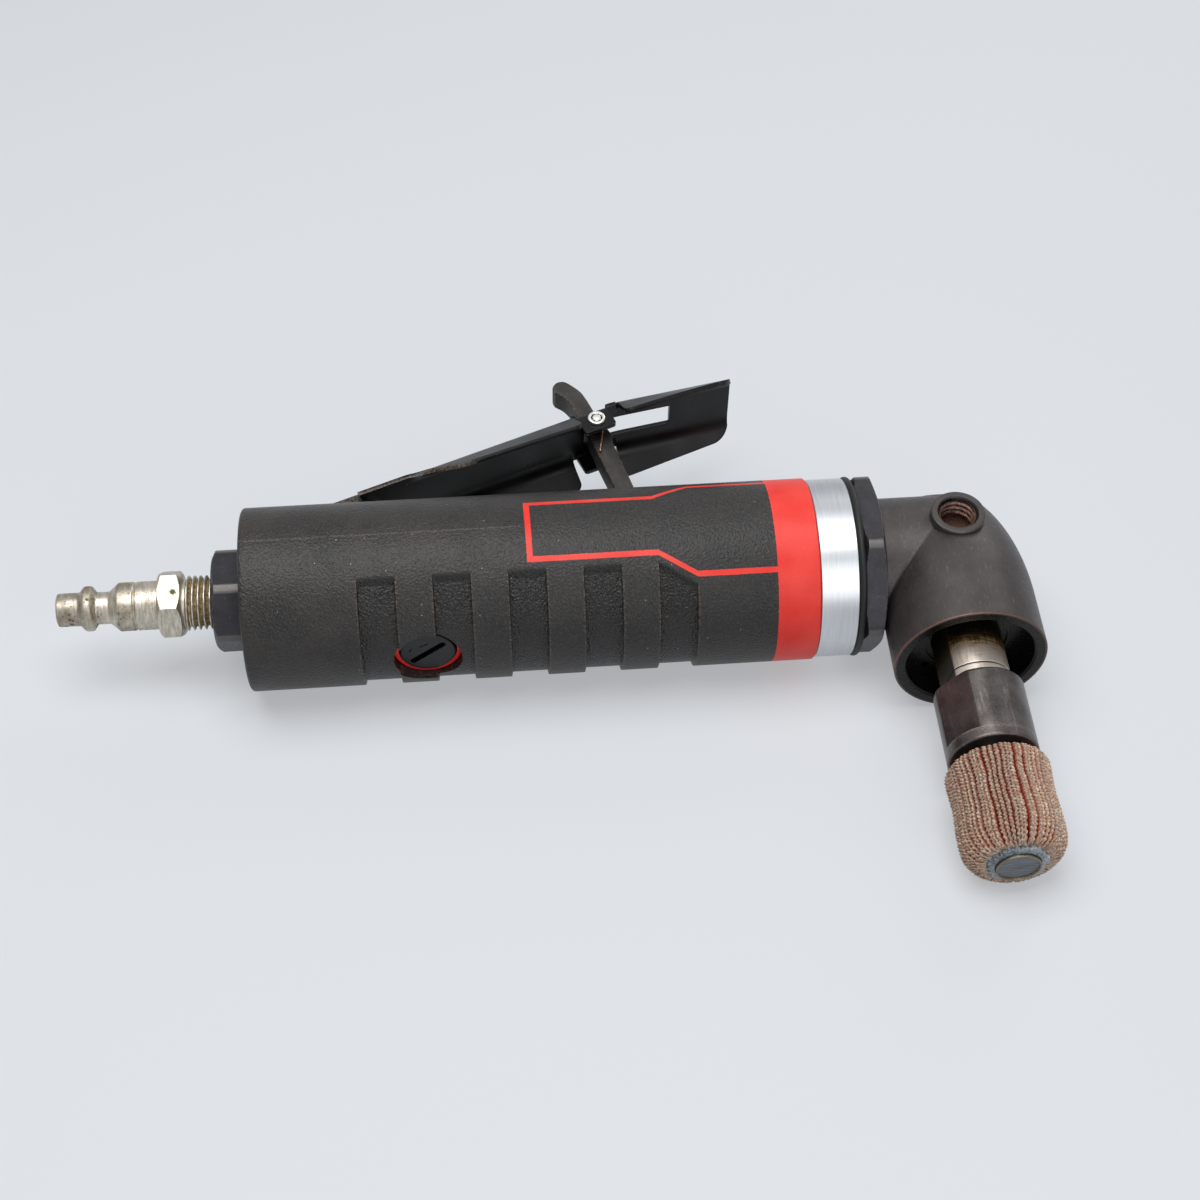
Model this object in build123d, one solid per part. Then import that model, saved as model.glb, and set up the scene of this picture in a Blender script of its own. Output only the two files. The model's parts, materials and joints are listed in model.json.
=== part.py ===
from build123d import *
import math
import os

# All sizes in mm. Tool frame: barrel along X toward the head, spindle toward -Y, handle port toward +Z,
# origin where the barrel axis and the spindle axis cross.

# clearances
fit = 0.05
run_fit = 0.06
air = 0.3

# air plug
plug_tip_x = -219.6
plug_hex_x = -194.9
plug_hex_len = 5.9
plug_hex_af = 15.2
plug_thread_end_x = -174.5
plug_nose_r = 4.1
plug_ring_r = 5.54
plug_ring_x = -212.0
plug_neck_r = 3.95
plug_body_r = 5.97
plug_thread_r = 6.8
plug_bore_r = 3.0
plug_hex_turn = 15.5

# inlet bushing
bushing_hex_x = -181.4
bushing_hex_af = 22.9
bushing_hex_turn = 54.8
bushing_thread_r = 9.5
bushing_reach = 8.0

# grip sleeve
grip_rear_x = -173.7
grip_front_x = -35.6
grip_r = 22.5
grip_wall = 3.2
grip_bore_r = grip_r - grip_wall
pocket_first_x = -146.0
pocket_pitch = 17.93
pocket_width = 9.15
pocket_depth = 1.15
pocket_half_angle = 60.5
pocket_ramp_angle = 4.0

# motor housing
housing_rear_x = -166.0
bushing_end_x = housing_rear_x + bushing_reach
housing_r = grip_bore_r - fit
housing_wall = 2.25
motor_bore_r = housing_r - housing_wall
motor_rear_x = -112.0
band_front_x = -26.1
band_r = grip_r - 0.5
nose_wall = 1.3
nose_r = motor_bore_r + nose_wall
nose_end_x = -21.5

# motor stack
plate_rear_len = 5.0
liner_len = 50.0
plate_front_len = 7.0
spacer_wall = 5.55
liner_wall = 3.3
liner_bore_r = motor_bore_r - liner_wall
rotor_gap = 1.5
rotor_r = liner_bore_r - rotor_gap
exhaust_circle_r = motor_bore_r - 2.5
dowel_circle_r = motor_bore_r - 1.7
vane_count = 5
vane_slot = 1.7
vane_depth = 7.0
shaft_r = 4.0
rear_bearing_r = 9.5
front_bearing_r = 11.0
pinion_bearing_r = 9.5
drive_af = 4.4

# clamp nut and seal
nut_rear_x = -24.3
nut_front_x = -18.95
nut_wall = 1.7
nut_af = 2 * (nose_r + nut_wall)
nut_blunt_r = band_r + 0.6
nut_turn = 55.5

# angle head
neck_r = 16.4
head_r = 18.6
mouth_y = -31.1
dome_base_y = -16.0
dome_top_y = 20.0
mouth_bore_r = 15.5
port_top_z = 18.84
port_boss_r = 6.3
port_thread_r = 4.76
port_depth = 8.3
cavity_r = 12.4
lower_bearing_r = 14.0
lower_bearing_y = -21.5
lower_bearing_len = 8.0
upper_bearing_r = 6.0
upper_bearing_y = 7.0
upper_bearing_len = 7.0

# bevel pair
pinion_teeth = 12
gear_teeth = 21
gear_module = 1.0
face_width = 4.0
tooth_half = 0.52

# spindle and collet
spindle_nose_r = 8.5
spindle_flat_half = 7.15
spindle_flat_turn = 12.0
nose_thread_r = 7.4
collet_nut_rear_y = -40.6
collet_nut_front_y = -60.1
collet_nut_r = 10.85
collet_nut_flat_half = 9.5
collet_nut_flat_turn = 38.5
shank_r = 3.15

# flap wheel
wheel_rear_y = -62.8
wheel_front_y = -87.7
wheel_r = 12.3
core_r = 5.2
core_end_y = -89.4
flap_count = 64
flap_gap = 0.3
flap_gap_depth = 2.4

# throttle lever
lever_pivot_x = -148.2
pivot_sunk = 1.9
lever_pivot_y = grip_r - pivot_sunk
lever_pin_r = 1.5
lever_tail = 5.6
lever_rear_x = lever_pivot_x - lever_tail
lever_lift = 0.45
lever_rear_y = grip_r + lever_lift
lever_slope = 21.7
lever_bend_x = -79.8
lever_front_slope = 11.6
lever_front_x = -48.6
lever_sheet = 1.2
lever_half = 8.0
wing_start = 6.2
wing_deep = 9.2
wing_tip = 5.3
wing_splay = 33.0
wing_deep_splay = 42.0
wing_start_x = -129.0
wing_end_x = -91.0
tab_len = 7.8
tab_deep = 7.9
front_wing_x = -79.0
window_rear_x = -88.6
window_front_x = -64.6

# lock lever
lock_x = -84.3
lock_drop = 4.06
lock_half = 3.05
lock_pin_r = 1.2
spring_wire_r = 0.25
spring_coil_r = 1.6

# throttle valve
valve_x = -140.0
valve_bore_r = 4.6
stem_r = 1.9
stem_drop = 1.94
valve_floor_y = -11.0
seat_y = 3.0

# regulator
dial_x = -130.2
dial_r = 6.75
dial_sunk = 2.7
dial_face_y = dial_sunk - grip_r
dial_recess_r = 8.25
dial_recess_depth = 5.7
recess_floor_y = dial_recess_depth - grip_r
drum_r = 4.0
drum_top_y = 9.0
gallery_y = 5.5
gallery_r = 2.0
dial_slot_turn = 39.0


def turned_x(profile):
    return revolve(make_face(Polyline(*profile, close=True)), Axis.X, 360)


def turned_y(profile):
    return revolve(make_face(Polyline(*profile, close=True)), Axis.Y, 360)


def rod_x(r, x0, x1, y=0, z=0):
    return Pos((x0 + x1) / 2, y, z) * Rot(0, 90, 0) * Cylinder(r, x1 - x0)


def rod_y(r, y0, y1, x=0, z=0):
    return Pos(x, (y0 + y1) / 2, z) * Rot(90, 0, 0) * Cylinder(r, y1 - y0)


def rod_z(r, z0, z1, x=0, y=0):
    return Pos(x, y, (z0 + z1) / 2) * Cylinder(r, z1 - z0)


def tube_x(r_out, r_in, x0, x1):
    return turned_x([(x0, r_in), (x0, r_out), (x1, r_out), (x1, r_in)])


def tube_y(r_out, r_in, y0, y1):
    return turned_y([(r_in, y0), (r_out, y0), (r_out, y1), (r_in, y1)])


def block(x0, x1, y0, y1, z0, z1):
    return Pos((x0 + x1) / 2, (y0 + y1) / 2, (z0 + z1) / 2) * Box(x1 - x0, y1 - y0, z1 - z0)


def hex_x(af, x0, x1, turn):
    outline = RegularPolygon(af / math.sqrt(3), 6, rotation=turn)
    return extrude(Plane.YZ.offset(x0) * outline, x1 - x0)


def around(angle, radius):
    t = math.radians(angle)
    return (-radius * math.cos(t), radius * math.sin(t))


def helix_tube(radius, wire_r, pitch, turns, lead_in, lead_out):
    steps = round(turns * 4)
    rise = pitch / (2 * math.pi * radius)
    points = []
    tangents = []
    for k in range(steps + 1):
        a = k * math.pi / 2
        points.append(Vector(radius * math.cos(a), radius * math.sin(a), pitch * k / 4))
        tangents.append(Vector(-math.sin(a), math.cos(a), rise).normalized())
    edges = []
    if lead_in > 0:
        edges.append(Edge.make_line(points[0] - tangents[0] * lead_in, points[0]))
    for p0, p1, t0, t1 in zip(points, points[1:], tangents, tangents[1:]):
        chord = p1 - p0
        lean = chord.dot(t0 + t1)
        turn = 1 - t0.dot(t1)
        reach = (math.sqrt(lean * lean + 2 * turn * chord.dot(chord)) - lean) / (2 * turn)
        joint = (p0 + p1 + (t0 - t1) * reach) * 0.5
        middle = ((p1 - t1 * reach) - (p0 + t0 * reach)).normalized()
        edges.append(Edge.make_tangent_arc(p0, t0, joint))
        edges.append(Edge.make_tangent_arc(joint, middle, p1))
    if lead_out > 0:
        edges.append(Edge.make_line(points[-1], points[-1] + tangents[-1] * lead_out))
    path = Wire(edges)
    start = path.position_at(0)
    section = Plane(origin=start, z_dir=path.tangent_at(0)) * Circle(wire_r)
    return sweep(section, path=path)


def air_plug():
    ring = plug_ring_x
    nose_end = ring - 2.4
    profile = [
        (plug_tip_x, plug_bore_r),
        (plug_tip_x, plug_nose_r - 0.7),
        (plug_tip_x + 0.7, plug_nose_r),
        (nose_end, plug_nose_r),
        (ring - 1.5, plug_ring_r - 0.75),
        (ring - 0.6, plug_ring_r - 0.1),
        (ring, plug_ring_r),
        (ring + 0.6, plug_ring_r - 0.1),
        (ring + 1.5, plug_ring_r - 0.9),
        (ring + 1.9, plug_neck_r),
        (ring + 5.1, plug_neck_r),
        (ring + 7.4, plug_body_r),
        (ring + 11.0, plug_body_r),
        (ring + 11.2, plug_body_r - 0.2),
        (ring + 11.6, plug_body_r - 0.2),
        (ring + 11.8, plug_body_r),
        (plug_hex_x, plug_body_r),
        (plug_hex_x, plug_bore_r),
    ]
    body = turned_x(profile)
    x1 = plug_hex_x + plug_hex_len
    corner = plug_hex_af / math.sqrt(3)
    blank = turned_x([
        (plug_hex_x, 0),
        (plug_hex_x, corner - 1.0),
        (plug_hex_x + 0.6, corner),
        (x1 - 0.6, corner),
        (x1, corner - 1.0),
        (x1, 0),
    ])
    nut = hex_x(plug_hex_af, plug_hex_x, x1, plug_hex_turn) & blank
    thread_end_r = plug_thread_r - (plug_thread_end_x - x1) / 32
    thread = turned_x([
        (x1 - 0.2, 0),
        (x1 - 0.2, plug_thread_r - 0.9),
        (x1 + 0.5, plug_thread_r - 0.9),
        (x1 + 1.2, plug_thread_r),
        (plug_thread_end_x - 0.8, thread_end_r),
        (plug_thread_end_x, thread_end_r - 0.8),
        (plug_thread_end_x, 0),
    ])
    bore = rod_x(plug_bore_r, plug_tip_x - 1, plug_thread_end_x + 1)
    return body + nut + thread - bore


def inlet_bushing():
    x1 = grip_rear_x + 0.2
    corner = bushing_hex_af / math.sqrt(3)
    blank = turned_x([
        (bushing_hex_x, 0),
        (bushing_hex_x, corner - 1.0),
        (bushing_hex_x + 0.6, corner - 0.3),
        (x1, corner - 0.3),
        (x1, 0),
    ])
    head = hex_x(bushing_hex_af, bushing_hex_x, x1, bushing_hex_turn) & blank
    shank = rod_x(bushing_thread_r, x1 - 0.2, bushing_end_x)
    x_hex = plug_hex_x + plug_hex_len
    taper_r = plug_thread_r + fit - (bushing_hex_x - x_hex) / 32
    end_r = plug_thread_r + fit - (plug_thread_end_x - x_hex) / 32
    socket = turned_x([
        (bushing_hex_x - 0.1, 0),
        (bushing_hex_x - 0.1, taper_r),
        (plug_thread_end_x, end_r),
        (plug_thread_end_x + 1.2, end_r),
        (plug_thread_end_x + 1.2, 0),
    ])
    passage = rod_x(4.2, plug_thread_end_x, bushing_end_x + 1)
    pocket = rod_x(6.0, bushing_end_x - 6.0, bushing_end_x + 1)
    return head + shank - socket - passage - pocket


def inlet_screen():
    x0 = bushing_end_x - 5.8
    x1 = bushing_end_x - 0.4
    cup = rod_x(5.9, x0, x1) - rod_x(5.1, x0 + 0.8, x1 + 1)
    ring = [Pos(0, 2.7 * math.cos(k * math.pi / 3), 2.7 * math.sin(k * math.pi / 3)) for k in range(6)]
    for place in ring:
        cup -= place * rod_x(0.9, x0 - 1, x0 + 2)
    return cup - rod_x(1.1, x0 - 1, x0 + 2)


def pocket_cutter(x0, width):
    floor_r = grip_r - pocket_depth
    low = pocket_half_angle - pocket_ramp_angle
    top = pocket_half_angle + 2.0
    outline = make_face([
        ThreePointArc(around(-low, floor_r), around(0, floor_r), around(low, floor_r)),
        Polyline(
            around(low, floor_r),
            around(top, grip_r + 0.4),
            around(35, grip_r + 9),
            around(-35, grip_r + 9),
            around(-top, grip_r + 0.4),
            around(-low, floor_r),
        ),
    ])
    return extrude(Plane.YZ.offset(x0) * outline, width)


def slanted_pocket(x0):
    cutter = pocket_cutter(x0, pocket_width)
    mid = math.radians(53.5)
    seat = Plane(
        origin=(0, -grip_r * math.cos(mid), grip_r * math.sin(mid)),
        x_dir=(1, 0, 0),
        z_dir=(0, -math.cos(mid), math.sin(mid)),
    )
    low = grip_r * math.radians(61.2 - 53.5)
    high = grip_r * math.radians(45.7 - 53.5)
    left = x0 - 0.5
    right = x0 + pocket_width + 0.5
    wedge = Polyline((left, low), (right, high), (right, 9), (left, 9), close=True)
    return cutter - extrude(seat * make_face(wedge), 6, both=True)


def grip_sleeve():
    edge = 0.9
    body = turned_x([
        (grip_rear_x, grip_bore_r),
        (grip_rear_x, grip_r - edge),
        (grip_rear_x + 0.27 * edge, grip_r - 0.27 * edge),
        (grip_rear_x + edge, grip_r),
        (grip_front_x - 0.3, grip_r),
        (grip_front_x, grip_r - 0.3),
        (grip_front_x, grip_bore_r),
    ])
    for k in range(4):
        body -= pocket_cutter(pocket_first_x + k * pocket_pitch, pocket_width)
    body -= slanted_pocket(pocket_first_x + 4 * pocket_pitch)
    hinge_gap = block(lever_rear_x - 1.6, lever_pivot_x + 6.2, 0, 30, -lever_half - 2.8, lever_half + 2.8)
    stem_gap = block(lever_pivot_x, valve_x + stem_r + 1.6, 0, 30, -stem_r - 1.3, stem_r + 1.3)
    recess = rod_y(dial_recess_r, -30, 0, dial_x)
    return body - hinge_gap - stem_gap - recess


def exhaust_holes(r, x0, x1):
    holes = []
    for side in (70, 110, 250, 290):
        y, z = around(side, exhaust_circle_r)
        holes.append(rod_x(r, x0, x1, y, z))
    return holes


def motor_housing():
    body = turned_x([
        (housing_rear_x, 0),
        (housing_rear_x, housing_r),
        (grip_front_x, housing_r),
        (grip_front_x, band_r - 0.3),
        (grip_front_x + 0.3, band_r),
        (band_front_x - 0.3, band_r),
        (band_front_x, band_r - 0.3),
        (band_front_x, nose_r),
        (nose_end_x - 0.4, nose_r),
        (nose_end_x, nose_r - 0.4),
        (nose_end_x, 0),
    ])
    rib_half = lever_half - lever_sheet - air - 0.1
    rib = block(lever_pivot_x - 3.4, lever_pivot_x + 3.0, 10, lever_pivot_y, -rib_half, rib_half)
    rib += rod_z(2.3, -rib_half, rib_half, lever_pivot_x, lever_pivot_y)
    body += rib
    body -= rod_z(lever_pin_r + 0.01, -30, 30, lever_pivot_x, lever_pivot_y)
    tab_gap_out = lever_half + 2.8
    for side in (1, -1):
        z0, z1 = sorted((side * rib_half, side * tab_gap_out))
        body -= block(lever_rear_x - 1.6, lever_pivot_x + 6.2, lever_pivot_y - 4.6, 30, z0, z1)
    body -= rod_x(motor_bore_r, motor_rear_x, nose_end_x + 1)
    body -= rod_x(rear_bearing_r + fit, motor_rear_x - 2.2, motor_rear_x + 1)
    body -= rod_x(bushing_thread_r + 0.02, housing_rear_x - 1, bushing_end_x)
    body -= rod_x(4.2, bushing_end_x - 1, valve_x, -3.5)
    body -= rod_y(valve_bore_r, valve_floor_y, 30, valve_x)
    body -= rod_x(gallery_r, valve_x, motor_rear_x + 1, gallery_y)
    body -= rod_y(drum_r + run_fit, -30, drum_top_y + 0.3, dial_x)
    body -= rod_y(dial_recess_r, -30, recess_floor_y, dial_x)
    for hole in exhaust_holes(2.2, housing_rear_x - 1, motor_rear_x + 1):
        body -= hole
    return body


def exhaust_cover():
    x0 = grip_rear_x + 0.2
    plate = tube_x(grip_bore_r - fit, bushing_thread_r + fit, x0, x0 + 2.4)
    slot = block(x0 - 1, x0 + 4, bushing_thread_r + 3.5, grip_bore_r - 1.7, -0.9, 0.9)
    for k in range(16):
        plate -= Rot(22.5 * k, 0, 0) * slot
    return plate


def silencer_felt():
    return tube_x(grip_bore_r - 0.2, bushing_thread_r + fit, grip_rear_x + 2.7, housing_rear_x - 0.1)


def valve_bush():
    bush = tube_y(valve_bore_r - 0.02, stem_r + run_fit, 9.0, grip_bore_r - 0.7)
    sleeve = tube_y(valve_bore_r - 0.02, 3.1, seat_y, 9.0)
    window = rod_x(gallery_r, 0, 8, gallery_y)
    return Pos(valve_x, 0, 0) * (bush + sleeve - window)


def valve_stem():
    stem_top_y = web_point(valve_x) - stem_drop
    profile = [
        (0, stem_top_y),
        (0.9, stem_top_y - 0.15),
        (1.6, stem_top_y - 0.7),
        (stem_r, stem_top_y - 1.6),
        (stem_r, seat_y - 1.2),
        (4.1, seat_y - 1.2),
        (4.1, seat_y - 2.8),
        (1.6, seat_y - 2.8),
        (1.6, seat_y - 6.0),
        (1.2, seat_y - 6.4),
        (0, seat_y - 6.4),
    ]
    return Pos(valve_x, 0, 0) * turned_y(profile)


def valve_seal():
    return Pos(valve_x, 0, 0) * tube_y(4.0, stem_r + 0.01, seat_y - 1.19, seat_y - 0.05)


def valve_spring():
    wire = 0.4
    turns = 5.0
    base = valve_floor_y + wire + 0.02
    top = seat_y - 2.8 - wire - 0.02
    coil = helix_tube(2.7, wire, (top - base) / turns, turns, 0, 0)
    print("valve spring self gap", round((top - base) / turns - 2 * wire, 3))
    return Pos(valve_x, base, 0) * Rot(-90, 0, 0) * coil


def lever_pivot_pin():
    length = lever_half + 0.7
    pin = rod_z(lever_pin_r, -length, length, lever_pivot_x, lever_pivot_y)
    return chamfer(pin.edges().filter_by(GeomType.CIRCLE), 0.3)


def regulator_dial():
    disc = rod_y(dial_r, dial_face_y, recess_floor_y - 0.4)
    disc = chamfer(disc.edges().filter_by(GeomType.CIRCLE).sort_by(Axis.Y)[0], 0.35)
    drum = rod_y(drum_r, recess_floor_y - 0.6, drum_top_y)
    slot = block(-5.4, 5.4, dial_face_y - 1, dial_face_y + 0.9, -0.65, 0.65)
    port = rod_x(gallery_r - 0.2, -6, 6, gallery_y)
    groove = tube_y(drum_r + 1, drum_r - 0.9, -4.2, -2.2)
    body = disc + drum - groove - port - Rot(0, -dial_slot_turn, 0) * slot
    return Pos(dial_x, 0, 0) * body


def regulator_seal():
    return Pos(dial_x, 0, 0) * tube_y(drum_r - 0.02, drum_r - 0.88, -4.1, -2.3)


def regulator_ring():
    ring = tube_y(dial_recess_r - 0.03, dial_r + air, recess_floor_y - 1.7, recess_floor_y - 0.05)
    return Pos(dial_x, 0, 0) * ring


def rear_end_plate():
    x1 = motor_rear_x + plate_rear_len
    plate = rod_x(motor_bore_r - fit, motor_rear_x, x1)
    plate -= rod_x(rear_bearing_r + 0.02, motor_rear_x - 1, motor_rear_x + 3.9)
    plate -= rod_x(shaft_r + 1.5, motor_rear_x, x1 + 1)
    plate -= rod_x(gallery_r, motor_rear_x - 1, x1 + 1, 11.6, 0)
    for hole in exhaust_holes(2.2, motor_rear_x - 1, x1 + 1):
        plate -= hole
    return plate - rod_x(1.0, x1 - 2.5, x1 + 1, -dowel_circle_r)


def cylinder_liner():
    x0 = motor_rear_x + plate_rear_len + 0.02
    x1 = x0 + liner_len - 0.04
    shift = liner_bore_r - rotor_r - air
    body = rod_x(motor_bore_r - fit, x0, x1) - rod_x(liner_bore_r, x0 - 1, x1 + 1, shift)
    for k in range(5):
        x = x0 + 9 + 8 * k
        for y in (-5, 5):
            body -= rod_z(1.6, 0, 30, x, y)
    return body - rod_x(1.0, x0 - 1, x0 + 4, -dowel_circle_r)


def locating_dowel():
    x = motor_rear_x + plate_rear_len
    return rod_x(0.98, x - 2.4, x + 3.8, -dowel_circle_r)


def front_end_plate():
    x0 = motor_rear_x + plate_rear_len + liner_len
    x1 = x0 + plate_front_len
    plate = rod_x(motor_bore_r - fit, x0, x1)
    plate -= rod_x(front_bearing_r + 0.02, x0 + 1.5, x1 + 1)
    return plate - rod_x(shaft_r + 1.5, x0 - 1, x1)


def clamp_spacer():
    x0 = motor_rear_x + plate_rear_len + liner_len + plate_front_len + 1.6
    outer = motor_bore_r - fit
    return tube_x(outer, outer - spacer_wall, x0, nose_end_x - 6.6)


def bearing_x(r_out, x0, x1):
    ring = tube_x(r_out, shaft_r + 0.02, x0, x1)
    r0 = shaft_r + (r_out - shaft_r) * 0.32
    r1 = shaft_r + (r_out - shaft_r) * 0.72
    return ring - tube_x(r1, r0, x0 - 1, x0 + 0.4) - tube_x(r1, r0, x1 - 0.4, x1 + 1)


def rotor_bearing_rear():
    return bearing_x(rear_bearing_r, motor_rear_x - 2.1, motor_rear_x + 3.88)


def rotor_bearing_front():
    x0 = motor_rear_x + plate_rear_len + liner_len + 1.52
    return bearing_x(front_bearing_r, x0, x0 + 7.0)


def pinion_bearing():
    return bearing_x(pinion_bearing_r, nose_end_x - 6.0, nose_end_x)


def rotor():
    x0 = motor_rear_x + plate_rear_len + air
    x1 = x0 + liner_len - 2 * air
    body = rod_x(rotor_r, x0, x1)
    slot = block(x0 - 1, x1 + 1, rotor_r - vane_depth, rotor_r + 2, -vane_slot / 2, vane_slot / 2)
    for k in range(vane_count):
        body -= Rot(360 * k / vane_count, 0, 0) * slot
    body += rod_x(shaft_r, motor_rear_x - 1.8, x0 + 1)
    body += rod_x(shaft_r, x1 - 1, x1 + 18)
    return body - hex_x(drive_af + 0.12, x1 + 10, x1 + 19, 0)


def vanes():
    x0 = motor_rear_x + plate_rear_len + air + 0.1
    x1 = x0 + liner_len - 2 * air - 0.2
    half = vane_slot / 2 - 0.1
    vane = block(x0, x1, rotor_r - vane_depth + 0.1, rotor_r - 0.05, -half, half)
    return Part() + [Rot(360 * k / vane_count, 0, 0) * vane for k in range(vane_count)]


def bevel_teeth(count, cone, tall, turn):
    pitch_r = gear_module * count / 2
    far = pitch_r / math.sin(cone)
    near = far - face_width
    solids = []
    for k in range(count):
        faces = []
        for dist in (far, near):
            s = dist / far
            place = Plane(
                origin=(dist * math.sin(cone), 0, dist * math.cos(cone)),
                x_dir=(math.cos(cone), 0, -math.sin(cone)),
                z_dir=(math.sin(cone), 0, math.cos(cone)),
            )
            lean = math.tan(math.radians(20))
            root = tooth_half + lean * 1.6
            tip = tooth_half - lean * tall
            left = [(-1.6 * s, -root * s), (tall * s, -tip * s)]
            right = [(tall * s, tip * s), (-1.6 * s, root * s)]
            faces.append(place * make_face(Polyline(*left, *right, close=True)))
        tooth = loft(faces, ruled=True)
        solids.append(Rot(0, 0, 360 * k / count + turn) * tooth)
    return solids


def root_cone(count, cone, sunk):
    far = gear_module * count / 2 / math.sin(cone)
    near = far - face_width
    scale = near / far
    r0 = far * math.sin(cone) - sunk * math.cos(cone)
    z0 = far * math.cos(cone) + sunk * math.sin(cone)
    return (r0, z0), (r0 * scale, z0 * scale)


def pinion_shaft():
    cone = math.atan2(pinion_teeth, gear_teeth)
    (r0, z0), (r1, z1) = root_cone(pinion_teeth, cone, 1.1)
    blank = turned_x([(-z1, 0), (-z1, r1), (-z0, r0), (-z0 - 3.2, r0), (-z0 - 3.2, 0)])
    for tooth in bevel_teeth(pinion_teeth, cone, 0.75, 0):
        blank += Rot(0, -90, 0) * tooth
    shank_end = motor_rear_x + plate_rear_len + liner_len - air + 18.2
    blank += rod_x(shaft_r - 0.01, shank_end, -z0 - 3.0)
    return blank + hex_x(drive_af, shank_end - 7, shank_end + 0.5, 0)


def bevel_gear():
    cone = math.atan2(gear_teeth, pinion_teeth)
    (r0, z0), (r1, z1) = root_cone(gear_teeth, cone, 1.1)
    bottom = -z0 - 4.0
    blank = turned_y([(4.52, bottom), (8.2, bottom), (r0, -z0 - 1.4), (r0, -z0), (r1, -z1), (4.52, -z1)])
    for tooth in bevel_teeth(gear_teeth, cone, 0.75, 0):
        blank += Rot(90, 0, 0) * tooth
    return blank


def gear_seat():
    cone = math.atan2(gear_teeth, pinion_teeth)
    far, near = root_cone(gear_teeth, cone, 1.1)
    return -far[1] - 4.0, -near[1]


def gear_lock_nut():
    high = gear_seat()[1]
    ring = tube_y(5.4, 4.02, high + 0.02, high + 2.4)
    notch = block(4.7, 6, high + 1.2, high + 4, -0.8, 0.8)
    for k in range(4):
        ring -= Rot(0, 90 * k, 0) * notch
    return ring


def spindle():
    low, high = gear_seat()
    profile = [
        (0, upper_bearing_y + upper_bearing_len - 0.4),
        (2.98, upper_bearing_y + upper_bearing_len - 0.4),
        (2.98, upper_bearing_y - 0.2),
        (4.0, upper_bearing_y - 0.2),
        (4.0, high),
        (4.5, high),
        (4.5, low - 0.02),
        (5.98, low - 0.02),
        (5.98, lower_bearing_y - 0.02),
        (spindle_nose_r, lower_bearing_y - 0.02),
        (spindle_nose_r, collet_nut_rear_y + 1.2),
        (spindle_nose_r - 0.3, collet_nut_rear_y + 1.0),
        (spindle_nose_r, collet_nut_rear_y + 0.8),
        (spindle_nose_r, collet_nut_rear_y + 0.02),
        (nose_thread_r, collet_nut_rear_y + 0.02),
        (nose_thread_r, collet_nut_front_y + 6.6),
        (5.7, collet_nut_front_y + 6.6),
        (4.5, collet_nut_front_y + 13.2),
        (shank_r + 0.15, collet_nut_front_y + 13.2),
        (shank_r + 0.15, collet_nut_rear_y + 5.0),
        (0, collet_nut_rear_y + 6.5),
    ]
    body = turned_y(profile)
    flat_low = collet_nut_rear_y + 1.9
    flat_high = mouth_y + 4.6
    for side in (1, -1):
        x0, x1 = sorted((side * spindle_flat_half, side * 20))
        body -= Rot(0, spindle_flat_turn, 0) * block(x0, x1, flat_low, flat_high, -20, 20)
    return body


def collet():
    y1 = collet_nut_front_y
    profile = [
        (shank_r + 0.03, y1 + 13.0),
        (4.4, y1 + 13.0),
        (5.6, y1 + 6.4),
        (5.6, y1 + 3.4),
        (4.4, y1 + 0.9),
        (shank_r + 0.03, y1 + 0.9),
    ]
    body = turned_y(profile)
    slit = block(0, 8, y1 - 1, y1 + 10.5, -0.3, 0.3)
    for k in range(3):
        body -= Rot(0, 120 * k + 30, 0) * slit
    return body


def collet_nut():
    y0 = collet_nut_rear_y
    y1 = collet_nut_front_y
    profile = [
        (nose_thread_r + 0.03, y0),
        (collet_nut_r - 0.7, y0),
        (collet_nut_r, y0 - 0.7),
        (collet_nut_r, y1 + 0.5),
        (collet_nut_r - 0.5, y1),
        (4.7, y1),
        (4.7, y1 + 0.8),
        (5.7, y1 + 3.3),
        (5.7, y1 + 6.4),
        (nose_thread_r + 0.03, y1 + 6.4),
    ]
    body = turned_y(profile)
    for side in (1, -1):
        x0, x1 = sorted((side * collet_nut_flat_half, side * 20))
        body -= Rot(0, collet_nut_flat_turn, 0) * block(x0, x1, y1 + 3.2, y0 + 1, -20, 20)
    return body


def wheel_core():
    profile = [
        (0, collet_nut_rear_y + 4.6),
        (shank_r - 0.3, collet_nut_rear_y + 4.6),
        (shank_r, collet_nut_rear_y + 4.2),
        (shank_r, wheel_rear_y + 1.6),
        (core_r, wheel_rear_y + 1.6),
        (core_r, core_end_y + 0.5),
        (core_r - 0.5, core_end_y),
        (0, core_end_y),
    ]
    return turned_y(profile)


def wheel_flaps():
    profile = [
        (core_r + 0.02, wheel_rear_y),
        (wheel_r - 0.6, wheel_rear_y),
        (wheel_r - 0.15, wheel_rear_y - 0.5),
        (wheel_r, wheel_rear_y - 1.6),
        (wheel_r, wheel_front_y + 5.0),
        (wheel_r - 0.4, wheel_front_y + 2.4),
        (wheel_r - 1.4, wheel_front_y + 0.8),
        (wheel_r - 3.0, wheel_front_y),
        (core_r + 0.02, wheel_front_y),
    ]
    body = turned_y(profile)
    inner = wheel_r - flap_gap_depth
    gap = block(inner, wheel_r + 1, wheel_front_y - 1, wheel_rear_y + 1, -flap_gap / 2, flap_gap / 2)
    return body - [Rot(0, 360 * k / flap_count, 0) * gap for k in range(flap_count)]


def wheel_end_ring():
    return tube_y(core_r + 2.0, core_r + 0.02, wheel_front_y - 1.0, wheel_front_y - 0.02)


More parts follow.
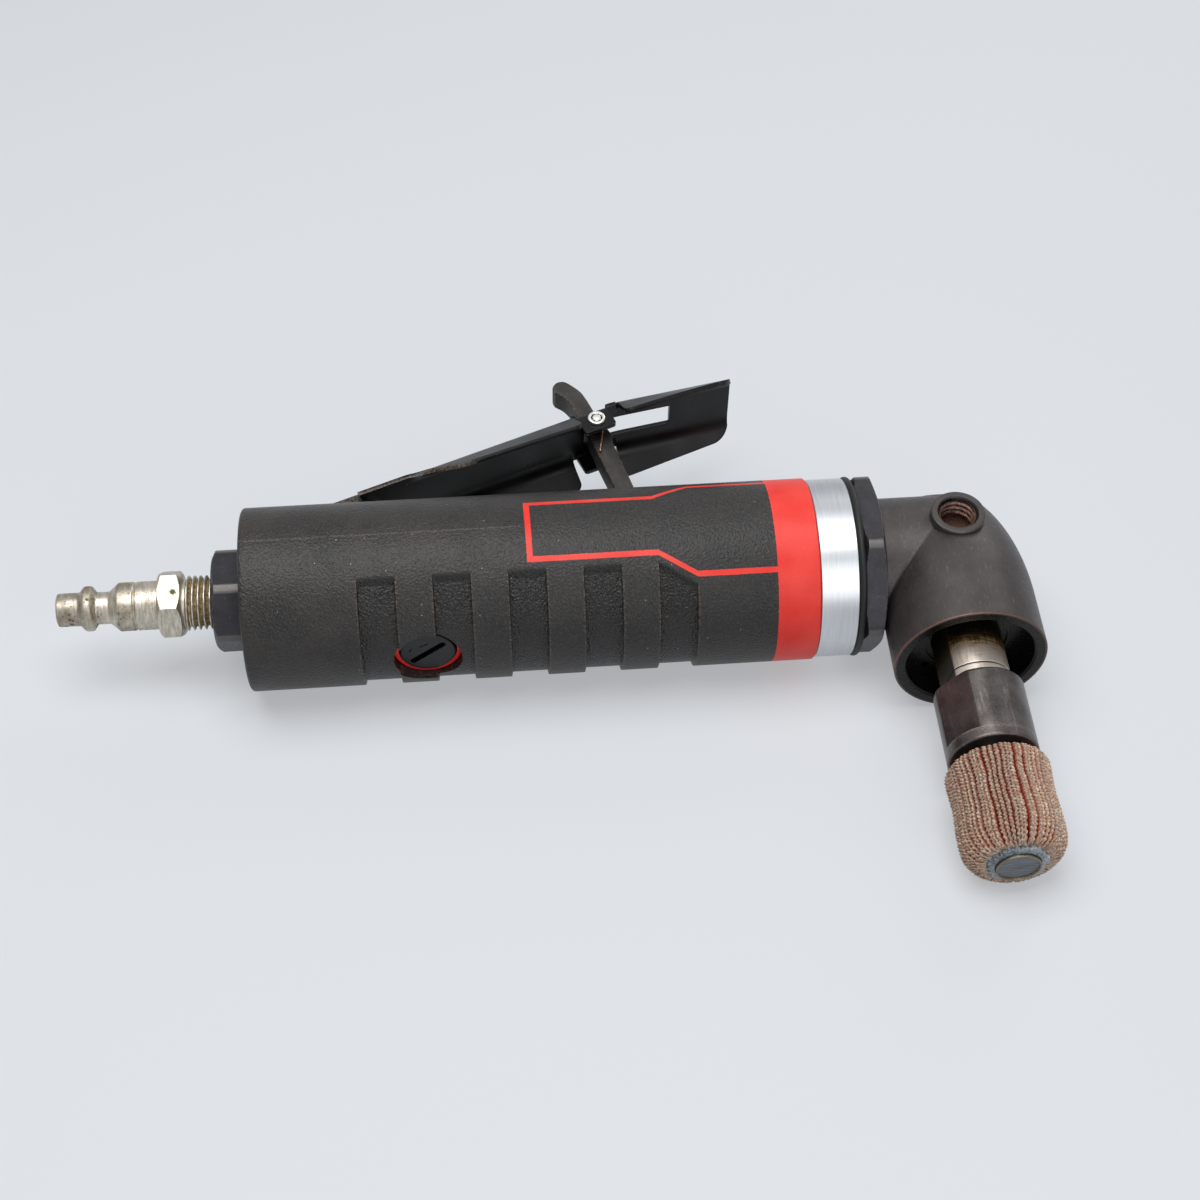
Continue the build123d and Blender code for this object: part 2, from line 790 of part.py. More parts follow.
def head_seal():
    mid = (band_front_x + nut_rear_x) / 2
    half = (nut_rear_x - band_front_x) / 2 - 0.02
    outline = Polyline(
        (mid - half, nose_r + fit),
        (mid - half, band_r - 0.3),
        (mid - 0.5 * half, band_r + 0.3),
        (mid + 0.5 * half, band_r + 0.3),
        (mid + half, band_r - 0.3),
        (mid + half, nose_r + fit),
        close=True,
    )
    return revolve(make_face(outline), Axis.X, 360)


def clamp_nut():
    blank = turned_x([
        (nut_rear_x, 0),
        (nut_rear_x, nut_blunt_r - 0.8),
        (nut_rear_x + 0.6, nut_blunt_r),
        (nut_front_x - 0.8, nut_blunt_r),
        (nut_front_x, nut_blunt_r - 1.4),
        (nut_front_x, 0),
    ])
    body = hex_x(nut_af, nut_rear_x, nut_front_x, nut_turn) & blank
    body -= rod_x(nose_r + 0.04, nut_rear_x - 1, nut_front_x - 1.7)
    return body - rod_x(neck_r + 0.15, nut_rear_x, nut_front_x + 1)


def dome_profile():
    points = [(0, mouth_y), (head_r - 0.5, mouth_y), (head_r, mouth_y + 0.5)]
    steps = 16
    height = dome_top_y - dome_base_y
    for k in range(steps + 1):
        a = math.pi / 2 * k / steps
        points.append((head_r * math.cos(a), dome_base_y + height * math.sin(a)))
    side = Polyline(*points[:4])
    dome = Spline(*points[3:], tangents=[(0, 1), (-1, 0)])
    return make_face([side, dome, Line(points[-1], points[0])])


def angle_head():
    dome = revolve(dome_profile(), Axis.Y, 360)
    limit = head_r * math.sqrt(1 - (dome_base_y / (dome_top_y - dome_base_y)) ** 2)
    body = dome & (rod_x(limit, -30, 30) + block(-30, 30, -60, 0, -30, 30))
    body += rod_x(neck_r, nut_front_x - 2.0, 0)
    body += rod_x(nose_r - 0.1, nose_end_x + 0.05, nut_front_x - 1.75)
    body += rod_x(motor_bore_r - fit, nose_end_x - 6.5, nose_end_x + 0.1)
    boss = rod_z(port_boss_r, 0, port_top_z)
    boss = fillet(boss.edges().filter_by(GeomType.CIRCLE).sort_by(Axis.Z)[-1], 0.5)
    body += boss
    body -= rod_x(7.6, nose_end_x - 8, -5)
    body -= rod_x(pinion_bearing_r + 0.02, nose_end_x - 8, nose_end_x + 0.02)
    bearing_top = lower_bearing_y + lower_bearing_len
    body -= rod_y(cavity_r, bearing_top - 1, -2.8)
    body -= rod_y(8.2, -4, upper_bearing_y - 0.4)
    body -= rod_y(upper_bearing_r + 0.02, upper_bearing_y - 1, upper_bearing_y + upper_bearing_len + 0.02)
    body -= rod_y(lower_bearing_r + 0.02, lower_bearing_y - 1, bearing_top + 0.02)
    body -= rod_y(mouth_bore_r, mouth_y - 1, lower_bearing_y - 0.02)
    hole = rod_z(port_thread_r, port_top_z - port_depth, port_top_z + 1)
    rim = Pos(0, 0, port_top_z - 0.4) * Cone(port_thread_r - 0.1, port_thread_r + 0.7, 0.8)
    return body - hole - rim


def spindle_bearing_upper():
    y0 = upper_bearing_y
    return tube_y(upper_bearing_r, 3.02, y0 + 0.02, y0 + upper_bearing_len)


def spindle_bearing_lower():
    y0 = lower_bearing_y
    y1 = y0 + lower_bearing_len
    ring = tube_y(lower_bearing_r, 6.02, y0, y1)
    return ring - tube_y(11.6, 8.2, y0 - 1, y0 + 0.4) - tube_y(11.6, 8.2, y1 - 0.4, y1 + 1)


def bearing_retainer():
    y1 = lower_bearing_y - 0.04
    y0 = y1 - 3.4
    ring = tube_y(mouth_bore_r - 0.03, spindle_nose_r + 1.6, y0, y1)
    for k in range(4):
        ring -= Rot(0, 90 * k + 45, 0) * rod_y(1.0, y0 - 1, y0 + 2.0, 12.6, 0)
    return ring


def spindle_seal():
    y1 = lower_bearing_y - 0.04
    return tube_y(spindle_nose_r + 1.57, spindle_nose_r + run_fit, y1 - 2.9, y1 - 0.3)


def web_point(x):
    if x <= lever_bend_x:
        return lever_rear_y + (x - lever_rear_x) * math.tan(math.radians(lever_slope))
    bend_y = lever_rear_y + (lever_bend_x - lever_rear_x) * math.tan(math.radians(lever_slope))
    return bend_y + (x - lever_bend_x) * math.tan(math.radians(lever_front_slope))


def lock_pin_y():
    return web_point(lock_x) - lock_drop


def web_section(wing, splay, bend_r):
    turn = math.radians(90 - splay)
    half = lever_half
    cut = bend_r * math.tan(turn / 2)
    inner_r = bend_r - lever_sheet
    centre_z = half - cut
    along = (math.cos(turn), -math.sin(turn))

    def arc_points(r):
        first = (centre_z, -bend_r + r)
        middle = (centre_z + r * math.sin(turn / 2), -bend_r + r * math.cos(turn / 2))
        last = (centre_z + r * math.sin(turn), -bend_r + r * math.cos(turn))
        return first, middle, last

    def mirrored(p):
        return (-p[0], p[1])

    outer = arc_points(bend_r)
    inner = arc_points(inner_r)
    run = wing - cut
    outer_end = (outer[2][0] + along[0] * run, outer[2][1] + along[1] * run)
    inner_end = (inner[2][0] + along[0] * run, inner[2][1] + along[1] * run)
    return make_face([
        Line(mirrored(outer[0]), outer[0]),
        ThreePointArc(*outer),
        Polyline(outer[2], outer_end, inner_end, inner[2]),
        ThreePointArc(inner[2], inner[1], inner[0]),
        Line(inner[0], mirrored(inner[0])),
        ThreePointArc(mirrored(inner[0]), mirrored(inner[1]), mirrored(inner[2])),
        Polyline(mirrored(inner[2]), mirrored(inner_end), mirrored(outer_end), mirrored(outer[2])),
        ThreePointArc(mirrored(outer[2]), mirrored(outer[1]), mirrored(outer[0])),
    ])


def sheet_seat(x, slope):
    a = math.radians(slope)
    return Plane(origin=(x, web_point(x), 0), x_dir=(0, 0, -1), z_dir=(math.cos(a), math.sin(a), 0))


def sheet_run(section, x0, x1, slope):
    return extrude(sheet_seat(x0, slope) * section, (x1 - x0) / math.cos(math.radians(slope)))


def sheet_flare(first, last, x0, x1, slope):
    return loft([sheet_seat(x0, slope) * first, sheet_seat(x1, slope) * last], ruled=True)


def round_corner(x, y, slope, r, ahead):
    corner = block(0, r + 2, -r - 12, 0, -30, 30) - rod_z(r, -31, 31, 0, 0)
    if not ahead:
        corner = mirror(corner, Plane.YZ)
    return Pos(x, y, 0) * Rot(0, 0, slope) * corner


def in_web(x, down):
    a = math.radians(lever_slope if x <= lever_bend_x else lever_front_slope)
    return x + down * math.sin(a), web_point(x) - down * math.cos(a)


def throttle_lever():
    knee = math.radians((lever_slope + lever_front_slope) / 2)
    web = Polyline(
        (lever_rear_x, web_point(lever_rear_x)),
        (lever_bend_x, web_point(lever_bend_x)),
        (lever_front_x, web_point(lever_front_x)),
        in_web(lever_front_x, lever_sheet),
        (lever_bend_x + lever_sheet * math.sin(knee), web_point(lever_bend_x) - lever_sheet),
        in_web(lever_rear_x, lever_sheet),
        close=True,
    )
    body = extrude(make_face(web), lever_half - 1.2, both=True)
    narrow = web_section(wing_start, wing_splay, 2.6)
    deep = web_section(wing_deep, wing_deep_splay, 2.6)
    tip = web_section(wing_tip, wing_splay, 2.6)
    body += sheet_flare(narrow, deep, wing_start_x, wing_end_x, lever_slope)
    body += sheet_flare(deep, tip, front_wing_x, lever_front_x, lever_front_slope)
    flat = Pos(0, -lever_sheet / 2) * Rectangle(2 * lever_half, lever_sheet)
    body += sheet_run(flat, lever_rear_x + tab_len - 0.5, wing_start_x + 0.5, lever_slope)
    body += sheet_run(web_section(tab_deep, 0, 1.4), lever_rear_x, lever_rear_x + tab_len, lever_slope)
    body += sheet_run(web_section(7.1, 0, 2.0), lock_x - 5.6, lock_x + 2.6, lever_slope)
    body -= round_corner(*in_web(lever_front_x - 4.0, 0.9), lever_front_slope, 4.0, True)
    body -= round_corner(*in_web(wing_start_x + 4.5, 2.4), lever_slope, 4.5, False)
    body -= round_corner(*in_web(wing_end_x - 2.2, 4.8), lever_slope, 2.2, True)
    body -= round_corner(*in_web(front_wing_x + 2.2, 2.4), lever_front_slope, 2.2, False)
    body -= round_corner(*in_web(lever_rear_x + 3.4, tab_deep - 3.6), lever_slope, 3.6, False)
    body -= round_corner(*in_web(lever_rear_x + tab_len - 3.4, tab_deep - 3.6), lever_slope, 3.6, True)
    body -= block(window_rear_x, window_front_x, 40, 70, -lock_half - air, lock_half + air)
    body -= rod_z(lever_pin_r + run_fit, -20, 20, lever_pivot_x, lever_pivot_y)
    return body - rod_z(lock_pin_r + 0.01, -20, 20, lock_x, lock_pin_y())


def lock_pin():
    z1 = lever_half + 0.01
    shank = rod_z(lock_pin_r, -z1, z1, lock_x, lock_pin_y())
    heads = []
    for side in (1, -1):
        z0, z2 = sorted((side * z1, side * (z1 + 0.9)))
        head = rod_z(2.25, z0, z2, lock_x, lock_pin_y())
        rim = head.edges().filter_by(GeomType.CIRCLE).sort_by(Axis.Z)[-1 if side > 0 else 0]
        head = chamfer(rim, 0.25)
        heads.append(head)
    body = shank + heads[0] + heads[1]
    for side in (1, -1):
        body -= Pos(lock_x, lock_pin_y(), side * (z1 + 0.9)) * Sphere(0.9)
    return body


def lock_lever():
    thumb = [(-9.85, 15.1), (-10.3, 16.75), (-9.4, 18.35), (-8.15, 18.9), (-6.7, 18.65), (-4.8, 16.95)]
    thumb += [(-3.0, 14.85), (-1.75, 12.25), (-0.9, 9.95), (0, 7.35)]
    front = [(2.1, 2.85), (3.7, -0.15), (4.1, -4.15), (6.0, -11.45)]
    front += [(7.75, -17.85), (7.5, -18.7), (6.7, -19.4)]
    sole = [(3.8, -21.3), (3.2, -19.45)]
    rear = [(0.3, -9.45), (-2.15, -0.55), (-2.8, 1.95), (-4.0, 4.65)]
    heel = [rear[-1], (-4.75, 6.45), (-5.45, 8.95), (-6.3, 11.2), (-7.75, 13.35)]
    outline = make_face([
        Spline(*thumb),
        Polyline(thumb[-1], *front, *sole, *rear),
        Spline(*heel),
        Spline(heel[-1], thumb[0]),
    ])
    body = extrude(outline, lock_half, both=True) - rod_z(lock_pin_r + run_fit, -9, 9)
    return Pos(lock_x, lock_pin_y(), 0) * body


def lock_spring():
    pitch = 2 * spring_wire_r + 0.45
    leg = 7.0
    drop = leg * pitch / (2 * math.pi * spring_coil_r)
    base = lock_half + spring_wire_r + air + drop
    coil = helix_tube(spring_coil_r, spring_wire_r, pitch, 2.0, leg, 0)
    print("lock spring self gap", round(pitch - 2 * spring_wire_r, 3))
    return Pos(lock_x, lock_pin_y(), base) * Rot(0, 0, -10) * coil


makers = [
    air_plug,
    inlet_bushing,
    inlet_screen,
    grip_sleeve,
    motor_housing,
    exhaust_cover,
    silencer_felt,
    valve_bush,
    valve_stem,
    valve_seal,
    valve_spring,
    lever_pivot_pin,
    throttle_lever,
    lock_pin,
    lock_lever,
    lock_spring,
    regulator_dial,
    regulator_seal,
    regulator_ring,
    rear_end_plate,
    cylinder_liner,
    locating_dowel,
    front_end_plate,
    clamp_spacer,
    rotor_bearing_rear,
    rotor_bearing_front,
    pinion_bearing,
    rotor,
    vanes,
    pinion_shaft,
    bevel_gear,
    gear_lock_nut,
    spindle,
    collet,
    collet_nut,
    wheel_core,
    wheel_flaps,
    wheel_end_ring,
    head_seal,
    clamp_nut,
    angle_head,
    spindle_bearing_upper,
    spindle_bearing_lower,
    bearing_retainer,
    spindle_seal,
]


def rest_roll():
    reach = -wheel_front_y - 5.0
    low = 0.0
    high = 20.0
    for step in range(60):
        mid = (low + high) / 2
        a = math.radians(mid)
        if reach * math.sin(a) + wheel_r * math.cos(a) < grip_r:
            low = mid
        else:
            high = mid
    return (low + high) / 2


def placed(shapes):
    roll = Rot(rest_roll(), 0, 0)
    turned = {name: roll * shape for name, shape in shapes.items()}
    boxes = [shape.bounding_box() for shape in turned.values()]
    x = (min(b.min.X for b in boxes) + max(b.max.X for b in boxes)) / 2
    y = (min(b.min.Y for b in boxes) + max(b.max.Y for b in boxes)) / 2
    z = min(b.min.Z for b in boxes)
    settle = Pos(-x, -y, -z)
    return {name: settle * shape for name, shape in turned.items()}, settle * roll


def main():
    os.makedirs("parts", exist_ok=True)
    shapes = {maker.__name__: maker() for maker in makers}
    done, place = placed(shapes)
    for name, shape in done.items():
        export_step(shape, f"parts/{name}.step")
    print("placed at", place)


if __name__ == "__main__":
    main()
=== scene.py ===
import json
import math

import bmesh
import bpy
import numpy as np
from mathutils import Matrix, Vector


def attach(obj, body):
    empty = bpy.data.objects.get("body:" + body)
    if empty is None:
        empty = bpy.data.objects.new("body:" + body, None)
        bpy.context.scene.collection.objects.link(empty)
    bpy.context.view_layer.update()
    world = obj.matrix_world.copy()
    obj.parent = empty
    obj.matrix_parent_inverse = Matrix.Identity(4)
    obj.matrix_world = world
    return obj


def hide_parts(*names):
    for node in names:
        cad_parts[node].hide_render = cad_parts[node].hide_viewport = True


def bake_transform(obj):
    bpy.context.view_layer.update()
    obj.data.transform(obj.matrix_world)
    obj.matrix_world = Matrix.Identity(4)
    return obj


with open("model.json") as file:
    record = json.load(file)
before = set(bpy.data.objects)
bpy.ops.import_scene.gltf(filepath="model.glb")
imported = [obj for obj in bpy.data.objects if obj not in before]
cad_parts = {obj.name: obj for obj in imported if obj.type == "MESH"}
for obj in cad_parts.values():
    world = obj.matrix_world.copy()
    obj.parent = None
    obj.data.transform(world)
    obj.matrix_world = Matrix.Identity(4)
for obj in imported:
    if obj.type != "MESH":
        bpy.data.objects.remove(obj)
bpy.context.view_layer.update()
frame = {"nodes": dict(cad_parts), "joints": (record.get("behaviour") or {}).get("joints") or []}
scene = bpy.context.scene
cadNodes = frame["nodes"]
joints = {joint["name"]: joint for joint in frame["joints"]}

# Tool frame in mm: barrel along X toward the head, spindle toward -Y, handle port toward +Z.
mm = 0.001
fullTurn = 2 * math.pi
rotorStation = 80.0  # the rotor joint stands this far behind the crossing of the two axes
spindleAxis = Vector(joints["spindle_spin"]["axis"])
roll = math.atan2(-spindleAxis.z, -spindleAxis.y)
shift = Vector(joints["rotor_spin"]["pos_m"]) + Vector((rotorStation * mm, 0, 0))
toolToRow = Matrix.Translation(shift) @ Matrix.Rotation(roll, 4, "X") @ Matrix.Scale(mm, 4)
rowToTool = np.array(toolToRow.inverted())
print("frame loaded, roll", round(math.degrees(roll), 3))


def meshPoints(mesh):
    place = np.zeros(len(mesh.vertices) * 3)
    mesh.vertices.foreach_get("co", place)
    return place.reshape(-1, 3)


def inTool(points):
    return np.asarray(points) @ rowToTool[:3, :3].T + rowToTool[:3, 3]


def toolBox(node):
    points = inTool(meshPoints(cadNodes[node].data))
    return points.min(0), points.max(0)


# Mesh helpers, all in tool mm

def softened(points, steps=5):
    # a point (along, radius, fillet) becomes an arc of that fillet
    line = []
    for k, point in enumerate(points):
        here = np.array(point[:2], float)
        if len(point) < 3 or k in (0, len(points) - 1):
            line.append(here)
            continue
        before, after = (np.array(points[j][:2], float) - here for j in (k - 1, k + 1))
        lengths = np.linalg.norm(before), np.linalg.norm(after)
        before, after = before / lengths[0], after / lengths[1]
        half = math.acos(np.clip(before @ after, -1, 1)) / 2
        cut = min(point[2] / math.tan(half), 0.49 * min(lengths))  # never past the middle of a side
        radius = cut * math.tan(half)
        middle = (before + after) / np.linalg.norm(before + after)
        centre = here + middle * radius / math.sin(half)
        first, last = here + before * cut - centre, here + after * cut - centre
        a0 = math.atan2(first[1], first[0])
        turn = (math.atan2(last[1], last[0]) - a0 + math.pi) % fullTurn - math.pi
        for s in range(steps + 1):
            a = a0 + turn * s / steps
            line.append(centre + radius * np.array((math.cos(a), math.sin(a))))
    return np.array(line)


def filled(line, step):
    # extra points along the straight runs, for shapes that change along the way
    dense = [line[0]]
    for p, q in zip(line, line[1:]):
        count = max(1, math.ceil(np.linalg.norm(q - p) / step))
        dense += [p + (q - p) * k / count for k in range(1, count + 1)]
    return np.array(dense)


def spread(values, least):
    # in order, without near doubles
    values = np.array(sorted(values))
    return values[np.append(True, np.diff(values) > least)]


def smoothStep(value):
    value = np.clip(value, 0, 1)
    return value * value * (3 - 2 * value)


def gridFaces(rows, columns, wrap=False):
    i, j = np.meshgrid(np.arange(rows - 1), np.arange(columns if wrap else columns - 1), indexing="ij")
    k = (j + 1) % columns
    corners = ((i, j), (i, k), (i + 1, k), (i + 1, j))
    return np.stack([row * columns + column for row, column in corners], -1).reshape(-1, 4)


def lathe(line, axis="x", segments=96, start=0.0, shape=None):
    angles = start + np.arange(segments) * fullTurn / segments
    along = np.repeat(line[:, :1], segments, 1)
    radius = np.repeat(line[:, 1:2], segments, 1)
    turn = np.repeat(angles[None], len(line), 0)
    if shape:
        radius = shape(along, radius, turn)
    c, s = radius * np.cos(turn), radius * np.sin(turn)
    order = {"x": (along, -c, s), "y": (c, along, s), "z": (c, s, along)}[axis]
    return np.stack(order, -1).reshape(-1, 3), gridFaces(len(line), segments, True)


def hexTurned(line, size, degrees, segments):
    # turned about X and cut to a hexagon with one corner at this angle
    corner = -math.radians(degrees)

    def shape(along, radius, turn):
        off = (turn - corner) % (math.pi / 3) - math.pi / 6
        return np.minimum(radius, size / 2 / np.cos(off))

    return lathe(line, "x", segments, corner, shape)


def wrenchFlats(half, degrees, low, high):
    def shape(along, radius, turn):
        reach = half / np.maximum(np.abs(np.cos(turn + math.radians(degrees))), 1e-3)
        inside = (along > low) & (along < high)
        return np.where(inside, np.minimum(radius, reach), radius)
    return shape


def prism(outline, low, high, axis):
    # a flat outline drawn out along the axis
    count = len(outline)
    rings = [np.insert(outline, axis, level, axis=1) for level in (low, high)]
    return np.concatenate(rings), [range(count), range(count, 2 * count), *gridFaces(2, count, True)]


def brick(low, high):
    corners = [(x, y, z) for x in (low[0], high[0]) for y in (low[1], high[1]) for z in (low[2], high[2])]
    faces = [(0, 1, 3, 2), (4, 6, 7, 5), (0, 4, 5, 1), (2, 3, 7, 6), (0, 2, 6, 4), (1, 5, 7, 3)]
    return np.array(corners), faces


def moved(part, by):
    return part[0] + np.array(by), part[1]


def newObject(name, parts):
    # parts: (points, faces) or (points, faces, material index)
    points, faces, marks, offset = [], [], [], 0
    for part in parts:
        points.append(np.asarray(part[0], float))
        faces += [tuple(int(v) + offset for v in face) for face in part[1]]
        marks += [part[2] if len(part) > 2 else 0] * len(part[1])
        offset += len(part[0])
    mesh = bpy.data.meshes.new(name)
    mesh.from_pydata(np.concatenate(points).tolist(), [], faces)
    mesh.polygons.foreach_set("material_index", marks)
    body = bmesh.new()
    body.from_mesh(mesh)
    bmesh.ops.remove_doubles(body, verts=body.verts, dist=2e-4)
    bmesh.ops.dissolve_degenerate(body, edges=body.edges, dist=1e-4)
    bmesh.ops.recalc_face_normals(body, faces=body.faces)
    body.to_mesh(mesh)
    body.free()
    return linked(name, mesh)


def linked(name, data):
    piece = bpy.data.objects.new(name, data)
    scene.collection.objects.link(piece)
    return piece


def bake(piece):
    graph = bpy.context.evaluated_depsgraph_get()
    shown = piece.evaluated_get(graph)
    mesh = bpy.data.meshes.new_from_object(shown, preserve_all_data_layers=True, depsgraph=graph)
    piece.modifiers.clear()
    piece.data = mesh


def cutAway(piece, *cutters):
    for cutter in cutters:
        tool = newObject("cutter", [cutter])
        step = piece.modifiers.new("cut", "BOOLEAN")
        step.operation, step.solver, step.object = "DIFFERENCE", "EXACT", tool
        bake(piece)
        bpy.data.objects.remove(tool)


def roundEdges(piece, width, segments, degrees):
    rounded = piece.modifiers.new("edges", "BEVEL")
    rounded.width, rounded.segments = width, segments
    rounded.limit_method, rounded.angle_limit = "ANGLE", math.radians(degrees)
    bake(piece)


def setAttribute(mesh, name, values):
    layer = mesh.attributes.get(name) or mesh.attributes.new(name, "FLOAT", "POINT")
    layer.data.foreach_set("value", np.asarray(values, np.float32))


def markEdges(mesh, gain, rub):
    # edge is 1 on convex edges, where a finish rubs through first, and crease in hollows, which finishes
    # darken as painted shade
    count = len(mesh.vertices)
    place, normal = meshPoints(mesh), np.zeros(count * 3)
    ends = np.zeros(len(mesh.edges) * 2, int)
    mesh.vertices.foreach_get("normal", normal)
    mesh.edges.foreach_get("vertices", ends)
    normal, ends = normal.reshape(-1, 3), ends.reshape(-1, 2)
    step = place[ends[:, 1]] - place[ends[:, 0]]
    step /= np.maximum(np.linalg.norm(step, axis=1, keepdims=True), 1e-9)
    bend, seen = np.zeros(count), np.zeros(count)
    for a, sign in ((ends[:, 0], -1), (ends[:, 1], 1)):
        np.add.at(bend, a, sign * (step * normal[a]).sum(1))
        np.add.at(seen, a, 1)
    bend *= gain / np.maximum(seen, 1)
    worn = np.clip(bend, 0, 1)
    setAttribute(mesh, "edge", rub(place, worn) if rub else worn)
    setAttribute(mesh, "crease", np.clip(-2.5 * bend, 0, 1))


def bareCorners(piece, radius):
    # handling wears the oxide off the blunt corners of a hexagon
    place = meshPoints(piece.data)
    setAttribute(piece.data, "bare", 0.4 * (np.hypot(place[:, 1], place[:, 2]) > radius - 0.04))


def settle(piece, body, slot, *replaced, finish=None, sharp=32, wear=3.0, rub=None):
    # into the shared frame, smooth but for sharp edges, and onto its body
    mesh = piece.data
    mesh.shade_smooth()
    mesh.set_sharp_from_angle(angle=math.radians(sharp))
    markEdges(mesh, wear, rub)
    mesh.transform(toolToRow)
    if len(mesh.materials):
        mesh.materials.clear()
    finish = finish or finishes[slot]
    for material in finish if isinstance(finish, list) else [finish]:
        mesh.materials.append(material)
    if body:
        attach(piece, body)
    if replaced:
        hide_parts(*replaced)
    print(piece.name, len(mesh.polygons), "faces")


# Materials

mapRange, mix, colourRamp = "ShaderNodeMapRange", "ShaderNodeMix", "ShaderNodeValToRGB"
noise, voronoi = "ShaderNodeTexNoise", "ShaderNodeTexVoronoi"  # inputs: place, none, scale, detail, roughness
vectorMath, split, combine = "ShaderNodeVectorMath", "ShaderNodeSeparateXYZ", "ShaderNodeCombineXYZ"


def linear(code):
    channels = [int(code[k:k + 2], 16) / 255 for k in (1, 3, 5)]
    return tuple(c / 12.92 if c <= 0.04045 else ((c + 0.055) / 1.055) ** 2.4 for c in channels) + (1.0,)


def feed(tree, node, inputs):
    # a node given as input means its first working output
    for socket, value in inputs.items():
        target = node.inputs[socket]
        if isinstance(value, bpy.types.Node):
            value = next(output for output in value.outputs if output.enabled)
        if isinstance(value, bpy.types.NodeSocket):
            tree.links.new(value, target)
        else:
            target.default_value = linear(value) if isinstance(value, str) and value[:1] == "#" else value


def addNode(tree, kind, inputs=None, stops=None, **settings):
    node = tree.nodes.new(kind)
    for name, value in settings.items():
        setattr(node, name, value)
    feed(tree, node, inputs or {})
    if stops:
        ramp = node.color_ramp
        while len(ramp.elements) < len(stops):
            ramp.elements.new(1.0)
        for element, (place, value) in zip(ramp.elements, stops):
            element.position = place
            element.color = linear(value) if isinstance(value, str) else (value, value, value, 1)
    return node


def workOut(tree, made, rows):
    # a row: its result, then sums or kinds of node with their inputs and stops; each later one in the row
    # starts from the one before it, and a named input is the result of a row above
    for name, *words in rows:
        starts = [k for k, word in enumerate(words) if isinstance(word, str) and (
            word.isupper() or word.startswith("ShaderNode"))]
        first = []
        for low, high in zip(starts, [*starts[1:], len(words)]):
            kind, values = words[low], first + words[low + 1:high]
            stops = values.pop() if isinstance(values[-1], list) else None
            inputs = {k: made.get(value, value) for k, value in enumerate(values) if value is not None}
            settings = {"operation": kind} if kind.isupper() else {}
            first = [addNode(tree, "ShaderNodeMath" if settings else kind, inputs, stops, **settings)]
        made[name] = first[0]
    return made


def emptyTree(owner):
    owner.use_nodes = True
    owner.node_tree.nodes.clear()
    return owner.node_tree


def startFinish(name, *marks, **shaderValues):
    # a shader, the place in tool mm, and the shares that are marked on the mesh
    material = bpy.data.materials.new(name)
    tree = emptyTree(material)
    shader = addNode(tree, "ShaderNodeBsdfPrincipled", shaderValues)
    addNode(tree, "ShaderNodeOutputMaterial", {"Surface": shader})
    place = addNode(tree, "ShaderNodeMapping", {
        "Vector": addNode(tree, "ShaderNodeTexCoord").outputs["Object"],
        "Location": shift, "Rotation": (roll, 0, 0), "Scale": (mm, mm, mm),
    }, vector_type="TEXTURE")
    shares = [addNode(tree, "ShaderNodeAttribute", attribute_name=mark).outputs["Fac"] for mark in marks]
    return material, tree, shader, place, *shares


def dressed(material, shader, made, first, layers, relief):
    # colour layers over the first one, then relief: height, strength, depth in mm
    tree = material.node_tree
    body = made[first]
    for share, colour in layers:
        over = {0: made.get(share, share), 6: body, 7: made.get(colour, colour)}
        body = addNode(tree, mix, over, data_type="RGBA")
    height, strength, deep = relief
    bump = addNode(tree, "ShaderNodeBump", {
        "Height": made[height], "Strength": made.get(strength, strength), "Distance": deep * mm,
    })
    inputs = {"Base Color": body, "Normal": bump}
    for socket, name in (("Roughness", "rough"), ("Metallic", "sheen")):
        if name in made:
            inputs[socket] = made[name]
    feed(tree, shader, inputs)
    return material


